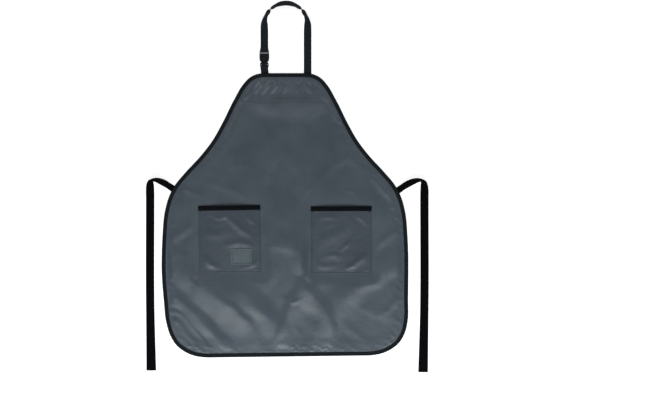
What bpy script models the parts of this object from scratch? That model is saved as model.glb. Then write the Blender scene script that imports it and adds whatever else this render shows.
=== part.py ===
"""Art apron laid flat on its back, front side up, each sewn piece as its own solid.

Sizes are in millimetres. x runs across the apron from its middle line, y runs up from the hem,
z is the height above the surface that it lies on. At the end everything is moved so that the
middle of the bottom of the whole is the origin, and turned into metres.
"""

import math
from collections import namedtuple

import bmesh
import bpy
from mathutils import Vector

MM = 0.001

# The apron
APRON_HEIGHT = 595.0
APRON_HALF_WIDTH = 259.0
PANEL_THICK = 1.0
GAP = 0.3
ROWS = 32
COLUMNS = 22
EDGE_COLUMN = 16.0

# The outer edge of the binding, from the end of the straight bib top to the end of the straight hem
OutlineRow = namedtuple("OutlineRow", "height_share width_share")
OUTLINE = [
    OutlineRow(1.000, 0.165),
    OutlineRow(0.996, 0.230),
    OutlineRow(0.983, 0.289),
    OutlineRow(0.961, 0.337),
    OutlineRow(0.905, 0.414),
    OutlineRow(0.820, 0.512),
    OutlineRow(0.764, 0.585),
    OutlineRow(0.707, 0.685),
    OutlineRow(0.651, 0.803),
    OutlineRow(0.604, 0.892),
    OutlineRow(0.566, 0.938),
    OutlineRow(0.510, 0.974),
    OutlineRow(0.425, 0.993),
    OutlineRow(0.326, 1.000),
    OutlineRow(0.199, 0.990),
    OutlineRow(0.122, 0.978),
    OutlineRow(0.079, 0.951),
    OutlineRow(0.044, 0.902),
    OutlineRow(0.019, 0.827),
    OutlineRow(0.005, 0.745),
    OutlineRow(0.000, 0.660),
]

# How the lower half has shifted on the surface
HEM_SLIDE = 6.3
HEM_SLIDE_FROM = 190.0
HEM_TILT = 3.2

# The binding round the edge
BINDING_WIDTH = 8.2
BINDING_THICK = 0.7
# How far the tape's outer side stands off the cloth edge that it folds over
BINDING_WRAP = 1.2

# The edge lies flat this far in, and the cloth comes down to the surface behind that
EDGE_FLAT = 18.0
EDGE_FALL = 45.0

# Webbing
WEBBING_THICK = 1.2
NECK_WIDTH = 16.0
TIE_WIDTH = 17.6
TIE_END_WIDTH = 20.3
FLOOR_CLEAR = 0.15
NECK_TAIL = 18.0
TIE_TAIL = 15.0

# The edge rides on the strap ends sewn behind it
STRAP_LIFT = WEBBING_THICK + FLOOR_CLEAR + 1.5 * GAP
LIFT_SPARE = 22.0
LIFT_FALL = 66.0

# Soft ridges: both ends as shares of the half width and the height of the apron, then the ridge's
# own half width and height as shares of the largest ridge's
RIDGE_HALF_WIDTH = 30.0
RIDGE_HIGH = 7.0
Ridge = namedtuple("Ridge", "start_x start_y end_x end_y half_width height")
RIDGES = [
    Ridge(-0.916, 0.302, -0.389, 0.090, 1.00, 1.00),
    Ridge(-0.462, 0.242, -0.073, 0.055, 0.83, 0.72),
    Ridge(0.146, 0.242, -0.032, 0.065, 0.73, 0.43),
    Ridge(0.162, 0.235, 0.365, 0.058, 0.73, 0.50),
    Ridge(0.949, 0.309, 0.430, 0.132, 0.93, 0.86),
    Ridge(-0.357, 0.884, 0.211, 0.884, 0.67, 0.43),
    Ridge(-0.024, 0.418, 0.138, 0.256, 0.73, 0.43),
    Ridge(-0.949, 0.411, -0.714, 0.478, 0.73, 0.36),
    Ridge(-0.625, 0.623, -0.260, 0.552, 0.73, 0.36),
    Ridge(0.349, 0.651, 0.552, 0.704, 0.73, 0.36),
    Ridge(0.754, 0.630, 0.933, 0.534, 0.73, 0.36),
]

# Pockets: the middle as shares of the apron's half width and height, the size in mm, a turn in degrees
POCKET_WIDTH_LEFT = 128.5
POCKET_WIDTH_RIGHT = 126.0
POCKET_HEIGHT = 141.0
Pocket = namedtuple("Pocket", "name middle_x middle_y width height turn")
POCKETS = [
    Pocket("left", -0.4475 * APRON_HALF_WIDTH, 0.4146 * APRON_HEIGHT, POCKET_WIDTH_LEFT, POCKET_HEIGHT, 0.9),
    Pocket("right", 0.4564 * APRON_HALF_WIDTH, 0.4118 * APRON_HEIGHT, POCKET_WIDTH_RIGHT, POCKET_HEIGHT, 0.2),
]
POCKET_THICK = 1.0
POCKET_CELLS = 12
POCKET_RISE = 7.0
POCKET_CLEAR = 10.0
POCKET_CLEAR_FALL = 32.0
MOUTH_WIDTH = 10.2
MOUTH_LIFT_SPARE = 3.0
MOUTH_LIFT_FALL = 21.0

# The label low on the left pocket, as shares of that pocket's size from its middle
LABEL_X = 0.183 * POCKETS[0].width
LABEL_Y = -0.268 * POCKETS[0].height
LABEL_WIDTH = 45.0
LABEL_HEIGHT = 34.0
LABEL_THICK = 0.8

# The neck strap's loop: how far it stands off the apron's middle line, its runs and its round top
LOOP_X = 2.1
LOOP_RADIUS = 45.4
LOOP_RUN = 102.2
LOOP_Y = APRON_HEIGHT + LOOP_RUN
LOOP_TWIST = 28.0
LoopRow = namedtuple("LoopRow", "from_top roll")
LOOP = [
    LoopRow(90.0, 30.0),
    LoopRow(80.0, 44.0),
    LoopRow(66.0, 61.0),
    LoopRow(45.0, 78.0),
    LoopRow(22.0, 64.0),
    LoopRow(0.0, 57.0),
]

# A strap's way over the surface: where it passes, how far it leans on edge, its width, and
# how many cells run to the next row
Way = namedtuple("Way", "x y roll width steps")

# Where each tie leaves the side, how far it goes out and up from there, and how far it hangs down.
# The rows hold shares of those three, with the lean in degrees and the cells to the next row.
TIE_REACH_LEFT = 47.8
TIE_REACH_RIGHT = 54.6
TIE_RISE = 19.0
TIE_DROP = 381.6
Tie = namedtuple("Tie", "name side leaves reach rise drop")
TIES = [
    Tie("left", -1, 0.590 * APRON_HEIGHT, TIE_REACH_LEFT, TIE_RISE, TIE_DROP),
    Tie("right", 1, 0.589 * APRON_HEIGHT, TIE_REACH_RIGHT, TIE_RISE, TIE_DROP),
]
TieRow = namedtuple("TieRow", "out up down roll steps")
TIE_ROWS = [
    TieRow(0.03, 0.06, 0.0, 0.0, 3),
    TieRow(0.25, 0.42, 0.0, 42.0, 3),
    TieRow(0.51, 0.78, 0.0, 51.0, 3),
    TieRow(0.72, 0.96, 0.0, 71.0, 3),
    TieRow(0.90, 0.86, 0.0, 82.0, 3),
    TieRow(0.97, 0.50, 0.0, 52.0, 3),
    TieRow(1.00, 0.00, 0.002, 22.0, 3),
    TieRow(1.00, 0.00, 0.045, 0.0, 5),
    TieRow(1.00, 0.00, 0.61, 0.0, 4),
    TieRow(0.95, 0.00, 1.00, 0.0, 0),
]

# The buckle, from the end of its plug on the bib's side: x across, y towards the loop
STUB_RUN = 11.9
BUCKLE_X = LOOP_X - LOOP_RADIUS
BUCKLE_Y = APRON_HEIGHT + STUB_RUN
BUCKLE_HIGH = 7.0
BUCKLE_HALF = NECK_WIDTH / 2 + GAP + 1.9
BUCKLE_BEVEL = 0.9
SHELL = 1.2
BAR_RADIUS = 1.3
BAR_HEIGHT = BUCKLE_HIGH / 2
BAR_TURN = BAR_RADIUS + GAP + WEBBING_THICK / 2
SLOT_HALF = NECK_WIDTH / 2 + GAP
SLOT_SEEN = 2.2
RIM_LENGTH = 2.3
RIM_HIGH = 2.6
PLUG_LENGTH = 10.6
PLUG_BAR_Y = BAR_RADIUS + 0.9
SOCKET_FROM = PLUG_LENGTH + 2.0
SOCKET_LENGTH = 27.4
SOCKET_TO = SOCKET_FROM + SOCKET_LENGTH
SOCKET_BAR_Y = SOCKET_TO - RIM_LENGTH - 2.0 * BAR_RADIUS - WEBBING_THICK - 0.7
SLOT_FROM = SOCKET_BAR_Y - BAR_RADIUS - GAP - WEBBING_THICK - SLOT_SEEN
WINDOW_FROM = SOCKET_FROM + 2.9
WINDOW_TO = WINDOW_FROM + 7.1
WINDOW_LOW = SHELL + 0.7
PRONG_HALF_HIGH = BAR_HEIGHT - WINDOW_LOW - GAP
# Outlines: half widths as shares of the buckle's, lengths as shares of the piece's
EdgeRow = namedtuple("EdgeRow", "half along")
PLUG_EDGE = [
    EdgeRow(0.84, 0.08),
    EdgeRow(0.90, 0.25),
    EdgeRow(0.91, 0.52),
    EdgeRow(0.87, 0.75),
    EdgeRow(0.76, 0.91),
    EdgeRow(0.69, 1.00),
]
SOCKET_EDGE = [
    EdgeRow(0.82, 0.00),
    EdgeRow(0.91, 0.04),
    EdgeRow(0.97, 0.16),
    EdgeRow(1.00, 0.34),
    EdgeRow(0.99, 0.54),
    EdgeRow(0.96, 0.67),
    EdgeRow(0.92, 0.82),
    EdgeRow(0.88, 0.93),
    EdgeRow(0.79, 1.00),
]


def smooth(share):
    """0 below 0, 1 above 1, and a soft step between them."""
    share = min(max(share, 0.0), 1.0)
    return share * share * (3.0 - 2.0 * share)


def fading(distance, flat, gone):
    """1 up to `flat`, softly down to 0 at `gone`."""
    return 1.0 - smooth((distance - flat) / (gone - flat))


def through(anchors, steps, steady=2):
    """Points on a smooth curve through the anchors, with steps[k] of them from anchor k to the next.

    Numbers from place `steady` on never swing past their anchors.
    """
    count = len(anchors)
    anchors = [tuple(map(float, anchor)) for anchor in anchors]
    gaps = [max(math.dist(anchors[k][:2], anchors[k + 1][:2]), 1e-6) for k in range(count - 1)]
    rates = [[(b - a) / gap for a, b in zip(anchors[k], anchors[k + 1])] for k, gap in enumerate(gaps)]
    slopes = [rates[0]]
    for k in range(1, count - 1):
        before, after = gaps[k - 1], gaps[k]
        total = before + after
        slope = []
        for place, (p, q) in enumerate(zip(rates[k - 1], rates[k])):
            held = place >= steady and p * q <= 0.0
            slope.append(0.0 if held else (p * after + q * before) / total)
        slopes.append(slope)
    slopes.append(rates[-1])
    points = []
    for k, gap in enumerate(gaps):
        for step in range(steps[k]):
            t = step / steps[k]
            near, far = (1 + 2 * t) * (1 - t) ** 2, t * t * (3 - 2 * t)
            leave, arrive = t * (1 - t) ** 2 * gap, t * t * (t - 1) * gap
            rows = zip(anchors[k], anchors[k + 1], slopes[k], slopes[k + 1])
            points.append(tuple(near * a + far * b + leave * m + arrive * n for a, b, m, n in rows))
    points.append(anchors[-1])
    return points


def spaced(points, count):
    """`count` points at even distances along a line of points."""
    lengths = [0.0]
    for first, second in zip(points, points[1:]):
        lengths.append(lengths[-1] + math.dist(first, second))
    result = []
    span = 0
    for index in range(count):
        goal = lengths[-1] * index / (count - 1)
        while span < len(lengths) - 2 and lengths[span + 1] < goal:
            span += 1
        share = (goal - lengths[span]) / (lengths[span + 1] - lengths[span])
        result.append(tuple(a + (b - a) * share for a, b in zip(points[span], points[span + 1])))
    return result


def side_points():
    """The right side's outer edge, one point a row, from the bib top down to the hem."""
    anchors = [(row.width_share * APRON_HALF_WIDTH, row.height_share * APRON_HEIGHT) for row in OUTLINE]
    return spaced(through(anchors, [12] * (len(anchors) - 1)), ROWS + 1)


SIDE = side_points()


def column_share(column, half):
    """Where a column stands, from -1 to 1: the outermost cells have one width, the others share the rest."""
    edge = min(EDGE_COLUMN / half, 1.9 / COLUMNS)
    if column == 0:
        return -1.0
    if column == COLUMNS:
        return 1.0
    return (1.0 - edge) * (2.0 * (column - 1) / (COLUMNS - 2) - 1.0)


def outline_loop():
    """The whole outer edge with the direction inwards, from the bib top's left end clockwise."""
    top = [(column_share(c, SIDE[0][0]) * SIDE[0][0], APRON_HEIGHT) for c in range(COLUMNS + 1)]
    hem = [(-column_share(c, SIDE[-1][0]) * SIDE[-1][0], 0.0) for c in range(COLUMNS + 1)]
    right = [(x, y) for x, y in SIDE[1:-1]]
    left = [(-x, y) for x, y in reversed(SIDE[1:-1])]
    points = top + right + hem + left
    loop = []
    for index, (x, y) in enumerate(points):
        before, after = points[index - 1], points[(index + 1) % len(points)]
        length = math.dist(before, after)
        inwards = ((after[1] - before[1]) / length, -(after[0] - before[0]) / length)
        loop.append(((x, y), inwards))
    return loop


EDGE = outline_loop()


def to_edge(x, y):
    """The distance from a point to the outer edge."""
    nearest = 1e9
    for index, (start, _) in enumerate(EDGE):
        end = EDGE[(index + 1) % len(EDGE)][0]
        nearest = min(nearest, to_line(x, y, start, end)[0])
    return nearest


def to_line(x, y, start, end):
    """(distance from a point to a line's nearest point, how far along the line that is)."""
    dx, dy = end[0] - start[0], end[1] - start[1]
    along = ((x - start[0]) * dx + (y - start[1]) * dy) / max(dx * dx + dy * dy, 1e-9)
    along = min(max(along, 0.0), 1.0)
    return math.dist((x, y), (start[0] + along * dx, start[1] + along * dy)), along


def in_pocket(pocket, x, y):
    """A point as seen from a pocket's middle."""
    turn = math.radians(-pocket.turn)
    dx, dy = x - pocket.middle_x, y - pocket.middle_y
    return dx * math.cos(turn) - dy * math.sin(turn), dx * math.sin(turn) + dy * math.cos(turn)


def from_pocket(pocket, dx, dy):
    """A point of a pocket, seen from the apron."""
    turn = math.radians(pocket.turn)
    x = pocket.middle_x + dx * math.cos(turn) - dy * math.sin(turn)
    y = pocket.middle_y + dx * math.sin(turn) + dy * math.cos(turn)
    return x, y


def leaving(tie):
    """Where a tie leaves the apron's side, and the way inwards from there."""
    for (x, y), (next_x, next_y) in zip(SIDE, SIDE[1:]):
        if next_y <= tie.leaves:
            share = (y - tie.leaves) / (y - next_y)
            length = math.dist((x, y), (next_x, next_y))
            inwards = (tie.side * (next_y - y) / length, -(next_x - x) / length)
            return tie.side * (x + (next_x - x) * share), inwards


TIE_LEAVES = {tie.name: leaving(tie) for tie in TIES}


def strap_lift(x, y):
    """How far the strap ends sewn behind it lift the panel."""
    flat = NECK_TAIL + LIFT_SPARE / 2
    lift = fading(APRON_HEIGHT - y, flat, flat + LIFT_FALL)
    flat = math.hypot(TIE_TAIL, TIE_WIDTH / 2) + LIFT_SPARE
    for tie in TIES:
        distance = math.dist((x, y), (TIE_LEAVES[tie.name][0], tie.leaves))
        lift = max(lift, fading(distance, flat, flat + LIFT_FALL))
    return STRAP_LIFT * lift


def ridges(x, y):
    """The soft ridges, which die away towards the edge and round the pockets."""
    free = 1.0 - fading(to_edge(x, y), EDGE_FLAT, EDGE_FALL)
    for pocket in POCKETS:
        dx, dy = in_pocket(pocket, x, y)
        aside = math.hypot(max(abs(dx) - pocket.width / 2, 0.0), max(abs(dy) - pocket.height / 2, 0.0))
        free *= 1.0 - fading(aside, POCKET_CLEAR, POCKET_CLEAR_FALL)
    height = 0.0
    for ridge in RIDGES:
        start = (ridge.start_x * APRON_HALF_WIDTH, ridge.start_y * APRON_HEIGHT)
        end = (ridge.end_x * APRON_HALF_WIDTH, ridge.end_y * APRON_HEIGHT)
        distance, along = to_line(x, y, start, end)
        half_width = ridge.half_width * RIDGE_HALF_WIDTH
        if distance < half_width:
            across = math.cos(math.pi / 2 * distance / half_width) ** 2
            height += ridge.height * RIDGE_HIGH * across * (0.4 + 0.6 * math.sin(math.pi * along))
    return height * free


def underside(x, y):
    """The height of the panel's underside."""
    edge = (BINDING_THICK + GAP) * fading(to_edge(x, y), EDGE_FLAT, EDGE_FALL)
    return edge + strap_lift(x, y) + ridges(x, y)


def lie(x, y, z):
    """Moves a point of the straight pattern to where it lies."""
    low = smooth((HEM_SLIDE_FROM - y) / HEM_SLIDE_FROM)
    return Vector((x + HEM_SLIDE * low, y + HEM_TILT * low * x / APRON_HALF_WIDTH, z))


def material(name, colour, roughness):
    made = bpy.data.materials.new(name)
    made.use_nodes = True
    shader = made.node_tree.nodes["Principled BSDF"]
    shader.inputs["Base Color"].default_value = (*colour, 1.0)
    shader.inputs["Roughness"].default_value = roughness
    return made


def cloth(name, along, across, place, thickness, cover, closed=False):
    """A grid of cells laid where place(i, j) says, thickened evenly on both sides."""
    grid = bmesh.new()
    bmesh.ops.create_grid(grid, x_segments=along, y_segments=across, size=0.5)
    for vertex in grid.verts:
        i = round((vertex.co.x + 0.5) * along)
        j = round((vertex.co.y + 0.5) * across)
        vertex.co = Vector(place(i, j)) * MM
    if closed:
        bmesh.ops.remove_doubles(grid, verts=grid.verts, dist=1e-6)
    piece = add_piece(name, grid, cover)
    thick = piece.modifiers.new("thickness", "SOLIDIFY")
    thick.thickness = thickness * MM
    thick.offset = 0.0
    thick.use_even_offset = True
    return piece


def add_piece(name, shape, cover):
    mesh = bpy.data.meshes.new(name)
    shape.to_mesh(mesh)
    shape.free()
    mesh.materials.append(cover)
    piece = bpy.data.objects.new(name, mesh)
    bpy.context.scene.collection.objects.link(piece)
    return piece


def panel_point(row, column):
    """A corner of the panel's grid: straight rows between the two side edges."""
    half = SIDE[row][0]
    share = column_share(column, half)
    edge_right = edge_point(row, COLUMNS)
    edge_left = edge_point(row, 0)
    if row in (0, ROWS) or column in (0, COLUMNS):
        x, y = edge_point(row, column)
    else:
        x = edge_left[0] + (edge_right[0] - edge_left[0]) * (share + 1.0) / 2.0
        y = edge_right[1]
    return lie(x, y, underside(x, y) + PANEL_THICK / 2)


def edge_point(row, column):
    """A point of the panel's own edge, which stays a little inside the binding."""
    if row == 0:
        station = column
    elif row == ROWS:
        station = COLUMNS + 1 + (ROWS - 1) + (COLUMNS - column)
    elif column == COLUMNS:
        station = COLUMNS + row
    else:
        station = 2 * (COLUMNS + 1) + (ROWS - 1) + (ROWS - 1 - row)
    (x, y), (inx, iny) = EDGE[station]
    return x + BINDING_WRAP * inx, y + BINDING_WRAP * iny


def folded_section(width, fold):
    """The middle of a tape folded over a cloth edge: (how far in from that edge, up from the cloth's middle)."""
    leaf = PANEL_THICK / 2 + GAP + BINDING_THICK / 2
    nose = BINDING_THICK / 2 - BINDING_WRAP
    return [
        (width, -leaf),
        (fold, -leaf),
        (nose, -leaf * 0.5),
        (nose, leaf * 0.5),
        (fold, leaf),
        (width, leaf),
    ]


def build_panel(cover):
    cloth("apron_panel", ROWS, COLUMNS, panel_point, PANEL_THICK, cover)


def build_binding(cover):
    section = folded_section(BINDING_WIDTH - BINDING_WRAP, 0.2)
    count = len(EDGE)

    def place(i, j):
        (x, y), (inx, iny) = EDGE[i % count]
        inwards, up = section[j]
        inwards += BINDING_WRAP
        x, y = x + inwards * inx, y + inwards * iny
        return lie(x, y, underside(x, y) + PANEL_THICK / 2 + up)

    cloth("edge_binding", count, len(section) - 1, place, BINDING_THICK, cover, closed=True)


def pocket_middle(pocket, across, up):
    """The middle of a pocket's cloth: across runs from -1 to 1, up is mm from the pocket's middle."""
    height = min(max(up / pocket.height + 0.5, 0.0), 1.0)
    flat = MOUTH_WIDTH + MOUTH_LIFT_SPARE
    mouth = (BINDING_THICK + GAP) * fading(pocket.height / 2 - up, flat, flat + MOUTH_LIFT_FALL)
    rise = POCKET_RISE * (1.0 - across * across) * math.sin(math.pi / 2 * height)
    x, y = from_pocket(pocket, across * pocket.width / 2, up)
    return x, y, underside(x, y) + PANEL_THICK + GAP + POCKET_THICK / 2 + mouth + rise


def build_pocket(pocket, cover, tape):
    def place(i, j):
        across = 2.0 * i / POCKET_CELLS - 1.0
        up = pocket.height * (j / POCKET_CELLS - 0.5)
        return lie(*pocket_middle(pocket, across, up))

    cloth(f"pocket_{pocket.name}", POCKET_CELLS, POCKET_CELLS, place, POCKET_THICK, cover)
    section = folded_section(MOUTH_WIDTH - BINDING_WRAP, 0.2)

    def place_tape(i, j):
        across = 2.0 * i / POCKET_CELLS - 1.0
        down, up = section[j]
        x, y, z = pocket_middle(pocket, across, pocket.height / 2 - max(down, 0.0))
        x, y = from_pocket(pocket, across * pocket.width / 2, pocket.height / 2 - down)
        return lie(x, y, z + up)

    name = f"pocket_binding_{pocket.name}"
    cloth(name, POCKET_CELLS, len(section) - 1, place_tape, BINDING_THICK, tape)


def build_label(cover):
    pocket = POCKETS[0]

    def place(i, j):
        dx = LABEL_X + LABEL_WIDTH * (i / 6 - 0.5)
        dy = LABEL_Y + LABEL_HEIGHT * (j / 4 - 0.5)
        x, y, z = pocket_middle(pocket, 2 * dx / pocket.width, dy)
        return lie(x, y, z + POCKET_THICK / 2 + GAP + LABEL_THICK / 2)

    cloth("label_patch", 6, 4, place, LABEL_THICK, cover)


def on_surface(way):
    """Stations (middle, direction across, width) of a strap on the surface, leaning on edge by its roll."""
    points = through([(row.x, row.y, row.roll, row.width) for row in way], [row.steps for row in way])
    stations = []
    for index, (x, y, roll, width) in enumerate(points):
        before, after = points[max(index - 1, 0)], points[min(index + 1, len(points) - 1)]
        length = math.dist(before[:2], after[:2])
        right = Vector(((after[1] - before[1]) / length, -(after[0] - before[0]) / length, 0.0))
        lean = math.radians(roll)
        across = right * math.cos(lean) + Vector((0.0, 0.0, math.sin(lean)))
        height = abs(math.sin(lean)) * width / 2 + math.cos(lean) * WEBBING_THICK / 2 + FLOOR_CLEAR
        stations.append((Vector((x, y, height)), across, width))
    return stations


def round_bar(bar_y, away, tail):
    """A strap's middle line (y, z) over a bar's top, round it and back below. It comes from `away`."""
    line = []
    for step in range(7):
        angle = math.pi * step / 6
        line.append((bar_y - away * BAR_TURN * math.sin(angle), BAR_HEIGHT + BAR_TURN * math.cos(angle)))
    line.append((bar_y + away * tail / 2, BAR_HEIGHT - BAR_TURN))
    line.append((bar_y + away * tail, BAR_HEIGHT - BAR_TURN))
    return line


def strap(name, stations, cover):
    def place(i, j):
        middle, across, width = stations[i]
        return middle + across * (width * (j - 0.5))

    cloth(name, len(stations) - 1, 1, place, WEBBING_THICK, cover)


def build_neck_strap(cover):
    right, left = LOOP_X + LOOP_RADIUS, LOOP_X - LOOP_RADIUS
    way = [
        Way(right, APRON_HEIGHT - NECK_TAIL, 0.0, NECK_WIDTH, 2),
        Way(right, APRON_HEIGHT + 3.0, 0.0, NECK_WIDTH, 3),
        Way(right, LOOP_Y - LOOP_TWIST, 0.0, NECK_WIDTH, 2),
        Way(right, LOOP_Y - 0.4 * LOOP_TWIST, 12.0, NECK_WIDTH, 2),
    ]
    around = LOOP + [LoopRow(-row.from_top, row.roll) for row in reversed(LOOP[:-1])]
    for row in around:
        angle = math.radians(row.from_top)
        x = LOOP_X + LOOP_RADIUS * math.sin(angle)
        y = LOOP_Y + LOOP_RADIUS * math.cos(angle)
        way.append(Way(x, y, row.roll, NECK_WIDTH, 3))
    way[-1] = way[-1]._replace(steps=2)
    way.append(Way(left, LOOP_Y - 0.4 * LOOP_TWIST, 12.0, NECK_WIDTH, 2))
    way.append(Way(left, LOOP_Y - LOOP_TWIST, 0.0, NECK_WIDTH, 0))
    stations = on_surface(way)
    flat = WEBBING_THICK / 2 + FLOOR_CLEAR
    top = BAR_HEIGHT + BAR_TURN
    over_rim = RIM_HIGH + GAP + WEBBING_THICK / 2 + 0.6
    free = LOOP_Y - LOOP_TWIST - BUCKLE_Y - SOCKET_TO
    down = [
        (SOCKET_TO + 0.6 * free, flat),
        (SOCKET_TO + 0.36 * free, flat + 0.12 * (top - flat)),
        (SOCKET_TO + 0.16 * free, flat + 0.50 * (top - flat)),
        (SOCKET_TO - 1.0, max(over_rim, flat + 0.8 * (top - flat))),
        (SOCKET_BAR_Y + 1.5, top - 0.1),
    ]
    for y, z in through(down, [2, 2, 2, 2, 0], 1) + round_bar(SOCKET_BAR_Y, 1.0, 3.2):
        stations.append((Vector((BUCKLE_X, BUCKLE_Y + y, z)), Vector((-1.0, 0.0, 0.0)), NECK_WIDTH))
    strap("neck_strap", stations, cover)


def build_stub(cover):
    flat = WEBBING_THICK / 2 + FLOOR_CLEAR
    top = BAR_HEIGHT + BAR_TURN
    bib = APRON_HEIGHT - BUCKLE_Y
    free = PLUG_BAR_Y - bib
    up = [
        (bib - NECK_TAIL, flat),
        (bib + 0.07 * free, flat),
        (bib + 0.32 * free, flat + 0.15 * (top - flat)),
        (bib + 0.57 * free, flat + 0.50 * (top - flat)),
        (PLUG_BAR_Y - 1.8, flat + 0.92 * (top - flat)),
    ]
    stations = []
    for y, z in through(up, [2, 2, 2, 3, 0], 1) + round_bar(PLUG_BAR_Y, -1.0, 3.6):
        lean = 1.6 * smooth(-y / 20.0)
        stations.append((Vector((BUCKLE_X + lean, BUCKLE_Y + y, z)), Vector((1.0, 0.0, 0.0)), NECK_WIDTH))
    strap("neck_strap_stub", stations, cover)


def build_tie(tie, cover):
    x, (inwards_x, inwards_y) = TIE_LEAVES[tie.name]
    tail = (x + TIE_TAIL * inwards_x, tie.leaves + TIE_TAIL * inwards_y)
    way = [Way(*tail, 0.0, TIE_WIDTH, 2)]
    for row in TIE_ROWS:
        out = x + tie.side * row.out * tie.reach
        up = tie.leaves + row.up * tie.rise - row.down * tie.drop
        way.append(Way(out, up, -tie.side * row.roll, TIE_WIDTH, row.steps))
    way[-1] = way[-1]._replace(width=TIE_END_WIDTH)
    strap(f"tie_{tie.name}", on_surface(way), cover)


def prism(name, outline, low, high, cover, bevel=0.0):
    """A flat shape between two heights, with soft edges if bevel is given. It is placed as the buckle is."""
    shape = bmesh.new()
    corners = [shape.verts.new((Vector((BUCKLE_X + x, BUCKLE_Y + y, low))) * MM) for x, y in outline]
    face = shape.faces.new(corners)
    grown = bmesh.ops.extrude_face_region(shape, geom=[face])
    lifted = [item for item in grown["geom"] if isinstance(item, bmesh.types.BMVert)]
    bmesh.ops.translate(shape, verts=lifted, vec=Vector((0.0, 0.0, (high - low) * MM)))
    bmesh.ops.recalc_face_normals(shape, faces=shape.faces)
    if bevel:
        rims = [edge for edge in shape.edges if abs(edge.verts[0].co.z - edge.verts[1].co.z) < 1e-7]
        bmesh.ops.bevel(shape, geom=rims, offset=bevel * MM, segments=2, profile=0.6, affect="EDGES")
    return add_piece(name, shape, cover)


def mirrored(half):
    """A closed outline from its right half."""
    return list(half) + [(-x, y) for x, y in reversed(half)]


def rectangle(half, start, end):
    return [(-half, start), (half, start), (half, end), (-half, end)]


def bar(name, y, half, cover):
    """A round bar across the buckle."""
    shape = bmesh.new()
    bmesh.ops.create_cone(
        shape,
        cap_ends=True,
        segments=12,
        radius1=BAR_RADIUS * MM,
        radius2=BAR_RADIUS * MM,
        depth=2 * half * MM,
    )
    for vertex in shape.verts:
        across, up, along = vertex.co.x, vertex.co.y, vertex.co.z
        vertex.co = Vector((along + BUCKLE_X * MM, across + (BUCKLE_Y + y) * MM, up + BAR_HEIGHT * MM))
    bmesh.ops.recalc_face_normals(shape, faces=shape.faces)
    return add_piece(name, shape, cover)


def combine(piece, other, operation):
    """Cuts a helper from a piece, or joins it to it, and keeps the helper out of the part."""
    step = piece.modifiers.new(other.name, "BOOLEAN")
    step.operation = operation
    step.solver = "EXACT"
    step.object = other
    other.hide_render = True
    other.display_type = "WIRE"


def build_socket(cover):
    edge = [(row.half * BUCKLE_HALF, SOCKET_FROM + row.along * SOCKET_LENGTH) for row in SOCKET_EDGE]
    piece = prism("buckle_socket", mirrored(edge), 0.0, BUCKLE_HIGH, cover, bevel=BUCKLE_BEVEL)
    inside = [(0.82 * BUCKLE_HALF - GAP, SOCKET_FROM - 1.6), (0.80 * BUCKLE_HALF, SOCKET_FROM + 1.4)]
    inside += [(BUCKLE_HALF - SHELL, SOCKET_FROM + 0.34 * SOCKET_LENGTH), (0.86 * BUCKLE_HALF, SLOT_FROM - SHELL)]
    above = BUCKLE_HIGH + 2.0
    cuts = [
        prism("cut_slot", rectangle(SLOT_HALF, SLOT_FROM, SOCKET_TO - RIM_LENGTH), -2.0, above, cover),
        prism("cut_rim", rectangle(SLOT_HALF, SOCKET_TO - RIM_LENGTH - 0.7, SOCKET_TO + 2.0), RIM_HIGH, above, cover),
        prism("cut_cavity", mirrored(inside), SHELL, BUCKLE_HIGH - SHELL, cover),
        prism(
            "cut_windows",
            rectangle(BUCKLE_HALF + 2.0, WINDOW_FROM, WINDOW_TO),
            WINDOW_LOW,
            BUCKLE_HIGH - WINDOW_LOW,
            cover,
        ),
    ]
    for cut in cuts:
        combine(piece, cut, "DIFFERENCE")
    combine(piece, bar("add_bar", SOCKET_BAR_Y, (SLOT_HALF + BUCKLE_HALF) / 2, cover), "UNION")


def build_plug(cover):
    edge = [(row.half * BUCKLE_HALF, row.along * PLUG_LENGTH) for row in PLUG_EDGE]
    piece = prism("buckle_plug", mirrored(edge), 0.0, BUCKLE_HIGH, cover, bevel=BUCKLE_BEVEL)
    end = PLUG_BAR_Y + BAR_TURN + WEBBING_THICK / 2 + 0.7
    combine(piece, prism("cut_end", rectangle(SLOT_HALF, -2.0, end), -2.0, BUCKLE_HIGH + 2.0, cover), "DIFFERENCE")
    root = PLUG_LENGTH - 1.6
    shoulder = WINDOW_FROM + 0.4
    prong = [
        (0.46 * BUCKLE_HALF, root),
        (0.66 * BUCKLE_HALF, root),
        (0.72 * BUCKLE_HALF, shoulder),
        (0.93 * BUCKLE_HALF, shoulder),
        (0.95 * BUCKLE_HALF, shoulder + 1.7),
        (0.80 * BUCKLE_HALF, WINDOW_TO - 0.6),
        (0.65 * BUCKLE_HALF, WINDOW_TO - 0.4),
        (0.50 * BUCKLE_HALF, shoulder + 3.1),
    ]
    low, high = BAR_HEIGHT - PRONG_HALF_HIGH, BAR_HEIGHT + PRONG_HALF_HIGH
    wanted = [
        prism("add_prong_right", prong, low, high, cover),
        prism("add_prong_left", [(-x, y) for x, y in reversed(prong)], low, high, cover),
        prism("add_guide", rectangle(1.3, root, WINDOW_TO + 1.4), low, high, cover),
        bar("add_plug_bar", PLUG_BAR_Y, SLOT_HALF + 0.6, cover),
    ]
    for helper in wanted:
        combine(piece, helper, "UNION")


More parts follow.
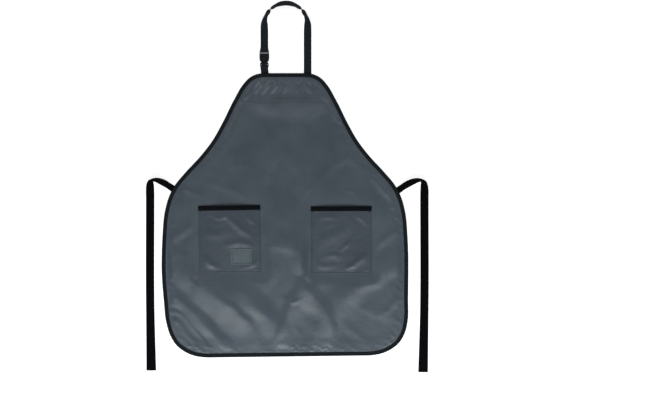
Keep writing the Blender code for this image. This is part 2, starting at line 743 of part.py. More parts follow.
def stand_on_origin():
    """Moves everything so that the middle of the bottom of the whole is the origin."""
    bpy.context.view_layer.update()
    graph = bpy.context.evaluated_depsgraph_get()
    corners = []
    for piece in bpy.context.scene.objects:
        if not piece.hide_render:
            shape = piece.evaluated_get(graph).to_mesh()
            corners.extend(vertex.co.copy() for vertex in shape.vertices)
            piece.evaluated_get(graph).to_mesh_clear()
    low = [min(corner[axis] for corner in corners) for axis in range(3)]
    high = [max(corner[axis] for corner in corners) for axis in range(3)]
    move = Vector((-(low[0] + high[0]) / 2, -(low[1] + high[1]) / 2, -low[2]))
    for piece in bpy.context.scene.objects:
        for vertex in piece.data.vertices:
            vertex.co += move
    print("moved by", [round(value / MM, 3) for value in move])
    print("size", [round((high[axis] - low[axis]) / MM, 2) for axis in range(3)])


def build():
    for old in list(bpy.data.objects):
        bpy.data.objects.remove(old, do_unlink=True)
    fabric = material("coated_fabric_blue_grey", (0.065, 0.080, 0.098), 0.45)
    pocket_fabric = material("pocket_fabric_blue_grey", (0.060, 0.074, 0.090), 0.45)
    tape = material("binding_tape_black", (0.012, 0.013, 0.015), 0.7)
    webbing = material("webbing_black", (0.008, 0.009, 0.010), 0.75)
    label = material("label_grey", (0.10, 0.13, 0.14), 0.6)
    plastic = material("buckle_plastic_black", (0.010, 0.011, 0.012), 0.4)
    build_panel(fabric)
    build_binding(tape)
    for pocket in POCKETS:
        build_pocket(pocket, pocket_fabric, tape)
    build_label(label)
    build_neck_strap(webbing)
    build_stub(webbing)
    for tie in TIES:
        build_tie(tie, webbing)
    build_socket(plastic)
    build_plug(plastic)
    stand_on_origin()


build()
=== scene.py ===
"""The art apron's looks: cloth, tape, webbing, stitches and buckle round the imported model.

Shapes are worked out in millimetres on the straight pattern, with x from the apron's middle line,
y up from the hem and z up from the surface that it lies on. They are then laid as the apron lies
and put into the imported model's own frame, in metres.
"""

import math
from collections import namedtuple

import bmesh
import bpy
import numpy as np
from bpy.props import FloatProperty, FloatVectorProperty, PointerProperty
from mathutils import Matrix, Vector


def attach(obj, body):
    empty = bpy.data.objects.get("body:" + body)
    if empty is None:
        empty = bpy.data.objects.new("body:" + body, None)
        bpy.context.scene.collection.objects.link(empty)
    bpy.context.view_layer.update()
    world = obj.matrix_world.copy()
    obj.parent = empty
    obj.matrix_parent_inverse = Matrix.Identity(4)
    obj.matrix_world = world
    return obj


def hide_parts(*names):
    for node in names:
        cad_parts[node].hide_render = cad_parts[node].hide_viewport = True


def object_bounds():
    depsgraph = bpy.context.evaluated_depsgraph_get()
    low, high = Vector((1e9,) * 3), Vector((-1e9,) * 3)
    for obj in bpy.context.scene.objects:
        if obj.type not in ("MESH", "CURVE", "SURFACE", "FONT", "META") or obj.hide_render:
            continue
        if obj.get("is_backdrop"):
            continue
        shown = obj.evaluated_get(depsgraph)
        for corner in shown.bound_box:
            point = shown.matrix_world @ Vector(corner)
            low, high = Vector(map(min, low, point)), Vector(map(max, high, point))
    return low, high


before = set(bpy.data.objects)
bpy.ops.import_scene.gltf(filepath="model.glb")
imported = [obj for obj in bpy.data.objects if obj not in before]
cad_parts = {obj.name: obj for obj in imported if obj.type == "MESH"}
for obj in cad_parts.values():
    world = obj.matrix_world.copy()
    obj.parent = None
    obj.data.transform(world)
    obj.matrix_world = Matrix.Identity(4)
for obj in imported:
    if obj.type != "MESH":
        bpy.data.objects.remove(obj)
CAD_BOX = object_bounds()

bl_info = {
    "name": "Art apron",
    "version": (1, 0, 0),
    "blender": (4, 5, 0),
    "location": "View3D > Sidebar > Apron",
    "description": "Dresses the packed art apron in cloth, tape, webbing and stitches",
    "category": "Object",
}

MM = 0.001

# From the pattern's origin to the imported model's
SHIFT = (-3.566, -358.059, 0.001)

# The right side's outer edge, from the end of the straight bib top to the end of the straight hem,
# as shares of the apron's height and half width
OutlineRow = namedtuple("OutlineRow", "height_share width_share")
OUTLINE = [
    OutlineRow(1.000, 0.165),
    OutlineRow(0.996, 0.230),
    OutlineRow(0.983, 0.289),
    OutlineRow(0.961, 0.337),
    OutlineRow(0.905, 0.414),
    OutlineRow(0.820, 0.512),
    OutlineRow(0.764, 0.585),
    OutlineRow(0.707, 0.685),
    OutlineRow(0.651, 0.803),
    OutlineRow(0.604, 0.892),
    OutlineRow(0.566, 0.938),
    OutlineRow(0.510, 0.974),
    OutlineRow(0.425, 0.993),
    OutlineRow(0.326, 1.000),
    OutlineRow(0.199, 0.990),
    OutlineRow(0.122, 0.978),
    OutlineRow(0.079, 0.951),
    OutlineRow(0.044, 0.902),
    OutlineRow(0.019, 0.827),
    OutlineRow(0.005, 0.745),
    OutlineRow(0.000, 0.660),
]
ROWS = 230
COLUMNS = 168
OUTLINE_STEPS = 12
ROUGH_POINTS = 61
TOP_POINTS = 30
HEM_POINTS = 116

# How the lower half has shifted on the surface
HEM_SLIDE = 6.3
HEM_SLIDE_FROM = 190.0
HEM_TILT = 3.2

# The solids' own thicknesses, which say how high each layer stands
SOLID_CLOTH = 1.0
SOLID_TAPE = 0.7
SOLID_GAP = 0.3
SOLID_WEBBING = 1.2
FLOOR_CLEAR = 0.15

# The thicknesses that show
CLOTH_THICK = 0.5
TAPE_THICK = 0.55
WEBBING_THICK = 1.15
LABEL_THICK = 0.6
CLOSE = 0.05

# The edge: how far the tape stands off the cloth, where the cloth lies flat and where it has come down,
# and where the tape rests on it
TAPE_WRAP = 1.2
EDGE_FLAT = 18.0
EDGE_FALL = 45.0
EDGE_FOOT = 4.0
STRAP_LIFT = SOLID_WEBBING + FLOOR_CLEAR + 1.5 * SOLID_GAP
LIFT_SPARE = 22.0
LIFT_FALL = 66.0
NECK_TAIL = 18.0
TIE_TAIL = 15.0

# The panel's own unevenness, in mm: how far its folds wander off their runs and over what length, the low
# ripples away from the edge, the puckers that the tape's seam draws in, and the calm round the pockets
WANDER = 3.0
WANDER_OVER = 70.0
RIPPLE = 0.15
RIPPLE_OVER = 46.0
RIPPLE_FROM = 20.0
RIPPLE_RISE = 40.0
FOLDS_FROM = 1.0
FOLDS_RISE = 16.0
PUCKER = 1.1
PUCKER_OVER = 15.0
PUCKER_RISE = 4.0
PUCKER_FLAT = 6.0
PUCKER_GONE = 30.0
PULL_OVER = 120.0
BY_POCKET_FLAT = 1.5
BY_POCKET_FREE = 26.0

# Folds of the panel as it lies, in mm: where the crest runs, how far it slopes down on the left and on the
# right of that run, how high it stands and how sharp its crest is, from 0 to 1
Fold = namedtuple("Fold", "crest left right high sharp")
FOLDS = [
    # Lower left: three long ridges that run from the side down to the hem
    Fold([(-240, 204), (-183, 160), (-150, 131), (-109, 97), (-70, 54)], 40, 50, 7.4, 0.0),
    Fold([(-146, 130), (-112, 101), (-74, 68)], 14, 22, 2.0, 0.2),
    Fold([(-126, 156), (-101, 138), (-68, 111), (-38, 80), (-6, 38)], 36, 32, 5.6, 0.1),
    Fold([(-240, 136), (-206, 105), (-169, 66), (-116, 14)], 22, 26, 4.2, 0.2),
    Fold([(-244, 98), (-206, 77), (-182, 46), (-162, 14)], 6, 9, 1.3, 0.5),
    Fold([(-242, 80), (-214, 62), (-194, 34), (-182, 20)], 7, 10, 0.9, 0.4),
    # Lower middle: a tent that opens towards the hem
    Fold([(36, 154), (20, 122), (6, 88), (-12, 36)], 40, 19, 4.6, 0.15),
    Fold([(36, 154), (62, 126), (84, 100), (96, 40)], 20, 42, 4.6, 0.15),
    Fold([(22, 70), (30, 48), (27, 18)], 12, 14, 1.0, 0.3),
    Fold([(60, 76), (64, 54), (60, 24)], 12, 14, 1.0, 0.2),
    Fold([(2, 122), (14, 114), (27, 122)], 7, 10, 1.5, 0.5),
    # Lower right: a long ridge from the side, and smaller ones in the corner
    Fold([(250, 201), (208, 181), (168, 155), (114, 109), (82, 40)], 34, 44, 4.0, 0.0),
    Fold([(248, 130), (224, 106), (206, 88)], 10, 14, 1.5, 0.3),
    Fold([(150, 118), (190, 92), (232, 74)], 26, 20, 1.0, 0.0),
    Fold([(122, 70), (146, 48), (176, 32)], 16, 16, 0.9, 0.1),
    # Middle: a curve between the pockets
    Fold([(-4, 240), (22, 222), (40, 190), (46, 150)], 34, 30, 4.2, 0.0),
    Fold([(-62, 208), (-40, 226), (-10, 236)], 16, 20, 1.5, 0.1),
    Fold([(-48, 140), (-30, 168), (-20, 200)], 24, 24, 1.2, 0.0),
    # Bib: the long slope under the crease and the gathers over it
    Fold([(-84, 532), (-68, 535), (-36, 534), (16, 533), (52, 535), (72, 534), (86, 530)], 17, 48, 7.0, 0.3),
    Fold([(-146, 430), (-126, 462), (-108, 490), (-94, 514)], 22, 40, 2.0, 0.0),
    Fold([(94, 514), (106, 490), (122, 462), (140, 430)], 22, 40, 2.0, 0.0),
    Fold([(-80, 570), (-30, 577), (30, 577), (80, 570)], 9, 40, 2.8, 0.1),
    Fold([(-62, 582), (-72, 562), (-90, 542)], 8, 8, 1.7, 0.2),
    Fold([(-44, 584), (-55, 565), (-74, 544)], 7, 7, 2.1, 0.3),
    Fold([(-27, 585), (-38, 566), (-56, 545)], 6, 7, 2.2, 0.3),
    Fold([(-12, 585), (-20, 568), (-34, 547)], 6, 7, 1.7, 0.2),
    Fold([(6, 585), (4, 570), (-6, 552)], 6, 8, 1.3, 0.1),
    Fold([(22, 584), (27, 566), (30, 546)], 8, 8, 1.7, 0.2),
    Fold([(42, 584), (50, 566), (60, 546)], 8, 9, 1.4, 0.1),
    Fold([(62, 580), (74, 562), (88, 544)], 8, 9, 1.4, 0.1),
    # Upper half: shallow wrinkles
    Fold([(-52, 366), (-32, 406), (-10, 438)], 16, 18, 1.3, 0.1),
    Fold([(-10, 440), (10, 416), (32, 384)], 14, 18, 1.3, 0.1),
    Fold([(-222, 350), (-200, 347), (-180, 341)], 8, 10, 1.0, 0.4),
    Fold([(-166, 371), (-130, 358), (-100, 341), (-66, 323)], 12, 17, 1.5, 0.2),
    Fold([(-120, 398), (-88, 402), (-60, 394)], 10, 14, 0.8, 0.2),
    Fold([(-248, 243), (-218, 262), (-184, 286), (-150, 330)], 16, 18, 2.2, 0.2),
    Fold([(84, 382), (108, 404), (134, 418), (160, 402)], 14, 18, 1.3, 0.1),
    Fold([(60, 366), (46, 348), (28, 320)], 9, 9, 1.3, 0.4),
    Fold([(186, 372), (208, 352), (226, 332), (240, 300)], 14, 16, 2.2, 0.2),
    Fold([(120, 352), (140, 348), (156, 340)], 6, 8, 0.7, 0.5),
    Fold([(176, 216), (200, 238), (240, 268)], 14, 18, 2.2, 0.2),
    Fold([(-30, 320), (-8, 290), (10, 280)], 18, 20, 0.9, 0.0),
    Fold([(-252, 200), (-226, 214), (-200, 210)], 12, 14, 1.2, 0.2),
    # Right across, level with the pockets' upper parts: one broad, low swell
    Fold([(-262, 238), (-120, 234), (0, 238), (120, 234), (262, 238)], 120, 190, 4.4, 0.0),
]

# Wrinkles of each pocket, in mm from its middle
POCKET_FOLDS = {
    "left": [
        Fold([(-16, 56), (12, 32), (42, 6)], 10, 13, 2.4, 0.4),
        Fold([(-42, 52), (-20, 44), (-6, 50)], 8, 8, 1.2, 0.3),
        Fold([(-10, -14), (16, -8), (46, -14)], 10, 14, 2.0, 0.3),
        Fold([(-60, -34), (-44, -50), (-26, -66)], 13, 14, 2.8, 0.3),
        Fold([(28, -62), (46, -56), (61, -44)], 9, 10, 1.8, 0.3),
        Fold([(-58, 18), (-30, 10), (-4, 16)], 14, 16, 1.1, 0.0),
        Fold([(34, 54), (44, 40), (60, 30)], 9, 8, 1.1, 0.3),
    ],
    "right": [
        Fold([(6, -66), (30, -50), (59, -28)], 12, 14, 2.5, 0.4),
        Fold([(-38, -36), (-18, -32), (0, -36)], 9, 14, 1.4, 0.2),
        Fold([(-2, -24), (6, -14), (18, -4)], 7, 8, 1.2, 0.4),
        Fold([(-58, 40), (-30, 50), (-8, 46)], 10, 12, 1.4, 0.2),
        Fold([(28, 52), (44, 44), (58, 30)], 9, 9, 1.4, 0.3),
        Fold([(-54, -10), (-30, 2), (10, 22), (24, 44)], 18, 18, 1.2, 0.0),
        Fold([(-58, -50), (-36, -58), (-14, -56)], 12, 10, 1.4, 0.2),
    ],
}

# Pockets: the middle as shares of the apron's half width and height, and a turn in degrees
PocketPlace = namedtuple("PocketPlace", "name x_share y_share turn")
POCKETS = [PocketPlace("left", -0.4475, 0.4146, 0.9), PocketPlace("right", 0.4564, 0.4118, 0.2)]
Pocket = namedtuple("Pocket", "name middle_x middle_y width height turn")

# The pockets' cloth, in mm: how far it stands off the panel at the mouth, its hem and how fine its grid is.
# OVER is the length of a wave, RISE how soon it comes up from a seam, FLAT and GONE where it fades out
POCKET_RISE = 3.6
POCKET_HEM = 2.6
POCKET_STEP = 2.0
POCKET_WANDER = 2.0
POCKET_WANDER_OVER = 40.0
POCKET_RIPPLE = 0.16
POCKET_RIPPLE_OVER = 26.0
WRINKLES_SHOWN = 0.75
WRINKLES_RISE = 14.0
GATHERS_SHOWN = 0.6
GATHERS_OVER = 11.0
GATHERS_FROM = 9.0
GATHERS_RISE = 4.0
GATHERS_FLAT = 12.0
GATHERS_GONE = 30.0
SIDE_PUCKER = 0.5
SIDE_PUCKER_OVER = 12.0
SIDE_PUCKER_RISE = 3.0
SIDE_PUCKER_FLAT = 3.0
SIDE_PUCKER_GONE = 14.0
MOUTH_RISE = 12.0
MOUTH_SPARE = 0.8

# The label low on the left pocket: its middle as shares of the pocket's size from the pocket's middle, then
# in mm how fine its grid is, how far in its seam lies and how far it stands off the pocket
LABEL_X_SHARE = 0.183
LABEL_Y_SHARE = -0.268
LABEL_STEP = 1.6
LABEL_SEAM = 1.8
LABEL_OVER = 0.25

# The neck strap's loop: degrees from its top, and how far the webbing leans on its edge, in degrees. Past 90
# it lies turned over
LOOP_X = 2.1
LOOP_RADIUS = 45.4
LOOP_RUN = 101.2
LOOP_TWIST = 28.0
LOOP_TWIST_ROLL = 12.0
LoopRow = namedtuple("LoopRow", "from_top roll")
LOOP = [
    LoopRow(90.0, 23.0),
    LoopRow(79.0, 46.0),
    LoopRow(66.0, 62.0),
    LoopRow(49.0, 74.0),
    LoopRow(44.0, 104.0),
    LoopRow(27.0, 124.0),
    LoopRow(9.0, 136.0),
    LoopRow(-9.0, 136.0),
    LoopRow(-27.0, 123.0),
    LoopRow(-44.0, 104.0),
    LoopRow(-49.0, 74.0),
    LoopRow(-66.0, 66.0),
    LoopRow(-79.0, 48.0),
    LoopRow(-90.0, 23.0),
]
Way = namedtuple("Way", "x y roll width steps")
STATIONS_PER_STEP = 3
STRAP_COLUMNS = 8

# The ties: how high each leaves the side as a share of the apron's height, how far it reaches out and how far
# it rises. Each row then has shares of those and of the drop, a lean in degrees and steps to the next row
Tie = namedtuple("Tie", "name side leaves reach rise")
TIES = [Tie("left", -1, 0.592, 47.8, 18.4), Tie("right", 1, 0.586, 55.4, 21.4)]
TIE_PLEAT = 0.2
TIE_DROP = 381.6
TieRow = namedtuple("TieRow", "out up down roll steps")
TIE_ROWS = [
    TieRow(0.03, 0.06, 0.0, 4.0, 3),
    TieRow(0.16, 0.30, 0.0, 26.0, 3),
    TieRow(0.36, 0.62, 0.0, 35.0, 3),
    TieRow(0.58, 0.88, 0.0, 44.0, 3),
    TieRow(0.76, 1.00, 0.0, 59.0, 3),
    TieRow(0.88, 0.98, 0.0, 69.0, 3),
    TieRow(0.96, 0.76, 0.0, 47.0, 3),
    TieRow(0.99, 0.42, 0.0, 30.0, 3),
    TieRow(1.00, 0.00, 0.007, 12.0, 3),
    TieRow(1.00, 0.00, 0.051, 0.0, 5),
    TieRow(1.00, 0.00, 0.61, 0.0, 12),
    TieRow(0.95, 0.00, 1.00, 0.0, 0),
]

# The buckle, from the end of its plug on the bib's side, with y towards the loop
STUB_RUN = 11.9
BUCKLE_HIGH = 7.0
BAR_RADIUS = 1.3
BAR_HEIGHT = BUCKLE_HIGH / 2
BAR_TURN = BAR_RADIUS + SOLID_GAP + SOLID_WEBBING / 2
BAR_STEPS = 12
RIM_HIGH = 2.6
RIM_LENGTH = 2.3
PLUG_LENGTH = 10.6
PLUG_BAR_Y = BAR_RADIUS + 0.9
HALVES_GAP = 2.0
SOCKET_LENGTH = 27.4
SLOT_SPARE = 0.7
SOCKET_TO = PLUG_LENGTH + HALVES_GAP + SOCKET_LENGTH
SOCKET_BAR_Y = SOCKET_TO - RIM_LENGTH - 2.0 * BAR_RADIUS - SOLID_WEBBING - SLOT_SPARE

# The plug's neck, seen between the buckle's halves, and the lip along the socket's slot
Block = namedtuple("Block", "name start end half middle high")
BLOCKS = [
    Block("buckle_neck", 5.1, 13.4, 6.2, 2.3, 1.2),
    Block("buckle_lip", SOCKET_BAR_Y - 5.4, SOCKET_BAR_Y - 3.4, 8.3, 2.2, 2.4),
]
BLOCK_BEVEL = 0.3

# Sewing, with the tacks at a mouth's ends
BLACK_THREAD = "#1b1e21"
GREY_THREAD = "#2c3338"
STITCH_LENGTH = 2.6
STITCH_PITCH = 3.4
THREAD = 0.42
STITCH_OVER = 0.04
SEAM_POINTS = 60
LABEL_SEAM_POINTS = 30
TAPE_SEAM = 1.8
TACK_ROWS = 4
TACK_PITCH = 0.7
TACK_DOWN = 9.0
TACK_IN = 3.0
TACK_OUT = 1.0

# The stage, in metres and watts. The light table has light of its own
TABLE_SIZE = 14.0
TABLE_UNDER = 0.0003
TABLE_GLOW = 0.66
ROOM_LIGHT = 0.5
Light = namedtuple("Light", "name colour place target size power")
LIGHTS = [
    Light("key_light", (0.95, 1.01, 1.02), (0.0, -1.05, 1.0), (0.0, -0.25, 0.0), (1.5, 0.6), 40.5),
    Light("fill_light_left", (1.0, 1.0, 1.0), (-1.3, 1.4, 1.3), (0.0, 0.1, 0.0), (1.4, 1.4), 31.0),
    Light("fill_light_right", (1.0, 1.0, 1.0), (1.3, 1.4, 1.3), (0.0, 0.1, 0.0), (1.4, 1.4), 31.0),
]
CAMERA_PLACE = (0.0804, -0.0294, 3.792)
CAMERA_LENS = 100.0
CAMERA_SENSOR = 36.0


def linear(colour):
    """A hex colour as linear red, green and blue."""
    parts = [int(colour[place:place + 2], 16) / 255.0 for place in (1, 3, 5)]
    return tuple(part / 12.92 if part <= 0.04045 else ((part + 0.055) / 1.055) ** 2.4 for part in parts)


def length(name, description, default):
    return FloatProperty(name=name, description=description, default=default, min=0.0, subtype="DISTANCE")


def colour(name, description, default):
    return FloatVectorProperty(
        name=name, description=description, default=linear(default), size=3, min=0.0, max=1.0, subtype="COLOR"
    )


class ApronSizes(bpy.types.PropertyGroup):
    height: length("Height", "From the hem to the top of the bib", 0.595)
    half_width: length("Half width", "From the middle line to the widest point", 0.259)
    tape_width: length("Edge tape", "Width of the binding that shows", 0.0082)
    mouth_tape_width: length("Mouth tape", "Width of the binding on a pocket's mouth", 0.0102)
    pocket_width_left: length("Left pocket", "Width of the left pocket", 0.1285)
    pocket_width_right: length("Right pocket", "Width of the right pocket", 0.126)
    pocket_height: length("Pocket height", "From a pocket's bottom to its mouth", 0.141)
    label_width: length("Label width", "Width of the label", 0.045)
    label_height: length("Label height", "Height of the label", 0.034)
    neck_width: length("Neck webbing", "Width of the neck strap", 0.016)
    tie_width: length("Tie webbing", "Width of the ties", 0.0176)
    tie_end_width: length("Tie end", "Width of a tie's hemmed end", 0.0203)


class ApronColours(bpy.types.PropertyGroup):
    cloth: colour("Cloth", "Coated cloth of the panel", "#21282f")
    pocket: colour("Pocket cloth", "Coated cloth of the pockets", "#1b2229")
    tape: colour("Tape", "Binding round the edge", "#090c0e")
    mouth_tape: colour("Mouth tape", "Binding on the pockets' mouths", "#050607")
    neck: colour("Neck webbing", "Webbing of the neck strap", "#0a0d11")
    tie: colour("Tie webbing", "Webbing of the ties", "#030304")
    label: colour("Label", "Woven label", "#263034")
    plastic: colour("Buckle", "Moulded buckle", "#040608")
    floor: colour("Floor", "Light table that it lies on", "#959595")


def smooth(share):
    """0 below 0, 1 above 1, and a soft step between them."""
    share = np.clip(share, 0.0, 1.0)
    return share * share * (3.0 - 2.0 * share)


def fading(distance, flat, gone):
    """1 up to `flat`, softly down to 0 at `gone`."""
    return 1.0 - smooth((distance - flat) / (gone - flat))


def waves(x, y, size, turn):
    """Irregular waves about `size` long, from about -1 to 1, the same on every run."""
    total = 0.0
    for index, (stretch, share) in enumerate([(1.0, 0.4), (0.71, 0.3), (1.37, 0.3), (0.53, 0.2)]):
        angle = turn + 2.4 * index
        phase = 1.7 * index + 5.0 * math.sin(3.1 * turn + index)
        along = x * math.cos(angle) + y * math.sin(angle)
        aside = y * math.cos(angle) - x * math.sin(angle)
        step = 2.0 * math.pi / (size * stretch)
        total = total + share * np.sin(along * step + phase + 0.9 * np.sin(aside * step * 0.43 + phase))
    return total


def through(anchors, steps, steady=2):
    """Points on a smooth curve through the anchors, with steps[k] of them from anchor k to the next.

    Numbers from place `steady` on never swing past their anchors.
    """
    count = len(anchors)
    anchors = [tuple(map(float, anchor)) for anchor in anchors]
    gaps = [max(math.dist(anchors[k][:2], anchors[k + 1][:2]), 1e-6) for k in range(count - 1)]
    rates = [[(b - a) / gap for a, b in zip(anchors[k], anchors[k + 1])] for k, gap in enumerate(gaps)]
    slopes = [rates[0]]
    for k in range(1, count - 1):
        before, after = gaps[k - 1], gaps[k]
        slope = []
        for place, (p, q) in enumerate(zip(rates[k - 1], rates[k])):
            held = place >= steady and p * q <= 0.0
            slope.append(0.0 if held else (p * after + q * before) / (before + after))
        slopes.append(slope)
    slopes.append(rates[-1])
    points = []
    for k, gap in enumerate(gaps):
        for step in range(steps[k]):
            t = step / steps[k]
            near, far = (1 + 2 * t) * (1 - t) ** 2, t * t * (3 - 2 * t)
            leave, arrive = t * (1 - t) ** 2 * gap, t * t * (t - 1) * gap
            rows = zip(anchors[k], anchors[k + 1], slopes[k], slopes[k + 1])
            points.append(tuple(near * a + far * b + leave * m + arrive * n for a, b, m, n in rows))
    points.append(anchors[-1])
    return points


def runs_along(points):
    """How far along a line of points each of them is."""
    return np.concatenate([[0.0], np.cumsum(np.linalg.norm(np.diff(points, axis=0), axis=1))])


def spaced(points, count):
    """`count` points at even distances along a line of points."""
    points = np.array(points)
    runs = runs_along(points)
    goals = np.linspace(0.0, runs[-1], count)
    return np.stack([np.interp(goals, runs, points[:, k]) for k in range(points.shape[1])], axis=1)


def turned(x, y, degrees):
    """Places turned anticlockwise round the origin."""
    turn = math.radians(degrees)
    return x * math.cos(turn) - y * math.sin(turn), x * math.sin(turn) + y * math.cos(turn)


def turned_right(ways):
    """Ways of length 1, a quarter turn clockwise from the given ones."""
    ways = ways / np.linalg.norm(ways, axis=1)[:, None]
    return np.stack([ways[:, 1], -ways[:, 0]], axis=1)


def to_line(x, y, start, end):
    """(distance to a line's nearest point, how far along that is, which side: 1 left, -1 right)."""
    dx, dy = end[0] - start[0], end[1] - start[1]
    along = np.clip(((x - start[0]) * dx + (y - start[1]) * dy) / max(dx * dx + dy * dy, 1e-9), 0.0, 1.0)
    away_x, away_y = x - start[0] - along * dx, y - start[1] - along * dy
    return np.hypot(away_x, away_y), along, np.where(dx * away_y - dy * away_x >= 0.0, 1.0, -1.0)


def fold_height(fold, x, y):
    """A fold's height over the points, from its crest's nearest point and the side that they are on."""
    crest = through(fold.crest, [4] * (len(fold.crest) - 1))
    best = np.full(np.shape(x), 1e9)
    side = np.ones(np.shape(x))
    share = np.zeros(np.shape(x))
    for index, (start, end) in enumerate(zip(crest, crest[1:])):
        distance, along, left = to_line(x, y, start, end)
        nearer = distance < best
        best = np.where(nearer, distance, best)
        side = np.where(nearer, left, side)
        share = np.where(nearer, (index + along) / (len(crest) - 1), share)
    width = np.where(side > 0.0, fold.left, fold.right)
    across = np.clip(best / width, 0.0, 1.0)
    soft = np.cos(0.5 * math.pi * across) ** 2
    sharp = (1.0 - across) ** 2
    ends = np.sin(math.pi * np.clip(0.06 + 0.88 * share, 0.0, 1.0)) ** 0.7
    return fold.high * ends * ((1.0 - fold.sharp) * soft + fold.sharp * sharp)


class Lay:
    """Where each piece lies, in millimetres. It has each of the sizes under its own name."""

    def __init__(self, sizes):
        for name in ApronSizes.__annotations__:
            setattr(self, name, getattr(sizes, name) / MM)
        anchors = [(row.width_share * self.half_width, row.height_share * self.height) for row in OUTLINE]
        outline = through(anchors, [OUTLINE_STEPS] * (len(anchors) - 1))
        self.side = spaced(outline, ROWS + 1)
        rough = spaced(outline, ROUGH_POINTS)
        self.rough_edge = np.concatenate([rough, rough[::-1] * (-1.0, 1.0)])
        self.pockets = []
        for name, x_share, y_share, turn in POCKETS:
            x, y = x_share * self.half_width, y_share * self.height
            width = getattr(self, f"pocket_width_{name}")
            self.pockets.append(Pocket(name, x, y, width, self.pocket_height, turn))
        self.ties = {tie.name: self.leaving(tie) for tie in TIES}

    def leaving(self, tie):
        """Where a tie leaves the apron's side, and the way inwards from there."""
        y = tie.leaves * self.height
        place = int(np.argmax(self.side[:, 1] <= y))
        before, after = self.side[place - 1], self.side[place]
        share = (before[1] - y) / (before[1] - after[1])
        span = after - before
        far = np.linalg.norm(span)
        inwards = (tie.side * span[1] / far, -span[0] / far)
        return tie.side * (before[0] + span[0] * share), y, inwards

    def to_edge(self, x, y):
        """The distance to the outer edge."""
        nearest = np.full(np.shape(x), 1e9)
        for start, end in zip(self.rough_edge, np.roll(self.rough_edge, -1, axis=0)):
            nearest = np.minimum(nearest, to_line(x, y, start, end)[0])
        return nearest

    def loop(self):
        """The whole outer edge clockwise from the bib top's left end and back: places, ways inwards, runs."""
        top = np.linspace(-self.side[0][0], self.side[0][0], TOP_POINTS)
        hem = np.linspace(self.side[-1][0], -self.side[-1][0], HEM_POINTS)
        points = np.concatenate(
            [
                np.stack([top, np.full(TOP_POINTS, self.height)], axis=1),
                self.side[1:-1],
                np.stack([hem, np.zeros(HEM_POINTS)], axis=1),
                (self.side[1:-1] * (-1.0, 1.0))[::-1],
            ]
        )
        inwards = turned_right(np.roll(points, -1, axis=0) - np.roll(points, 1, axis=0))
        points = np.concatenate([points, points[:1]])
        return points, np.concatenate([inwards, inwards[:1]]), runs_along(points)

    def in_pocket(self, pocket, x, y):
        """Pattern places as places from a pocket's middle."""
        return turned(x - pocket.middle_x, y - pocket.middle_y, -pocket.turn)

    def from_pocket(self, pocket, dx, dy):
        """Places from a pocket's middle as pattern places."""
        x, y = turned(dx, dy, pocket.turn)
        return pocket.middle_x + x, pocket.middle_y + y

    def lie(self, x, y):
        """Moves points of the straight pattern to where they lie."""
        low = smooth((HEM_SLIDE_FROM - y) / HEM_SLIDE_FROM)
        return x + HEM_SLIDE * low, y + HEM_TILT * low * x / self.half_width

    def strap_lift(self, x, y):
        """How far the strap ends sewn behind it lift the panel."""
        flat = NECK_TAIL + LIFT_SPARE / 2
        lift = fading(self.height - y, flat, flat + LIFT_FALL)
        flat = math.hypot(TIE_TAIL, self.tie_width / 2) + LIFT_SPARE
        for tie_x, tie_y, _ in self.ties.values():
            lift = np.maximum(lift, fading(np.hypot(x - tie_x, y - tie_y), flat, flat + LIFT_FALL))
        return STRAP_LIFT * lift

    def edge_height(self, x, y, edge):
        """The height of the panel's underside without its folds."""
        return (SOLID_TAPE + SOLID_GAP) * fading(edge, EDGE_FLAT, EDGE_FALL) + self.strap_lift(x, y)

    def folds(self, x, y, edge):
        """The folds, wrinkles and puckers of the panel."""
        x_lying, y_lying = self.lie(x, y)
        x_wandering = x_lying + WANDER * waves(x_lying, y_lying, WANDER_OVER, 0.3)
        y_wandering = y_lying + WANDER * waves(x_lying, y_lying, WANDER_OVER, 1.9)
        height = sum(fold_height(fold, x_wandering, y_wandering) for fold in FOLDS)
        ripple = RIPPLE * (1.0 + waves(x_lying, y_lying, RIPPLE_OVER, 0.8))
        height = height + ripple * smooth((edge - RIPPLE_FROM) / RIPPLE_RISE)
        inside = edge - self.tape_width
        free = smooth((inside - FOLDS_FROM) / FOLDS_RISE)
        sewn = smooth(inside / PUCKER_RISE) * fading(inside, PUCKER_FLAT, PUCKER_GONE)
        pull = 0.55 + 0.45 * waves(x_lying, y_lying, PULL_OVER, 2.2)
        pucker = np.maximum(waves(x_lying, y_lying, PUCKER_OVER, 1.1), -0.2) + 0.2
        height = height * free + PUCKER * pucker * pull * sewn
        for pocket in self.pockets:
            dx, dy = self.in_pocket(pocket, x, y)
            aside_x = np.maximum(np.abs(dx) - pocket.width / 2, 0.0)
            aside_y = np.maximum(np.abs(dy) - pocket.height / 2, 0.0)
            height = height * (1.0 - fading(np.hypot(aside_x, aside_y), BY_POCKET_FLAT, BY_POCKET_FREE))
        return height

    def panel_middle(self, x, y):
        """The height of the middle of the panel's cloth."""
        edge = self.to_edge(x, y)
        return self.edge_height(x, y, edge) + self.folds(x, y, edge) + SOLID_CLOTH / 2

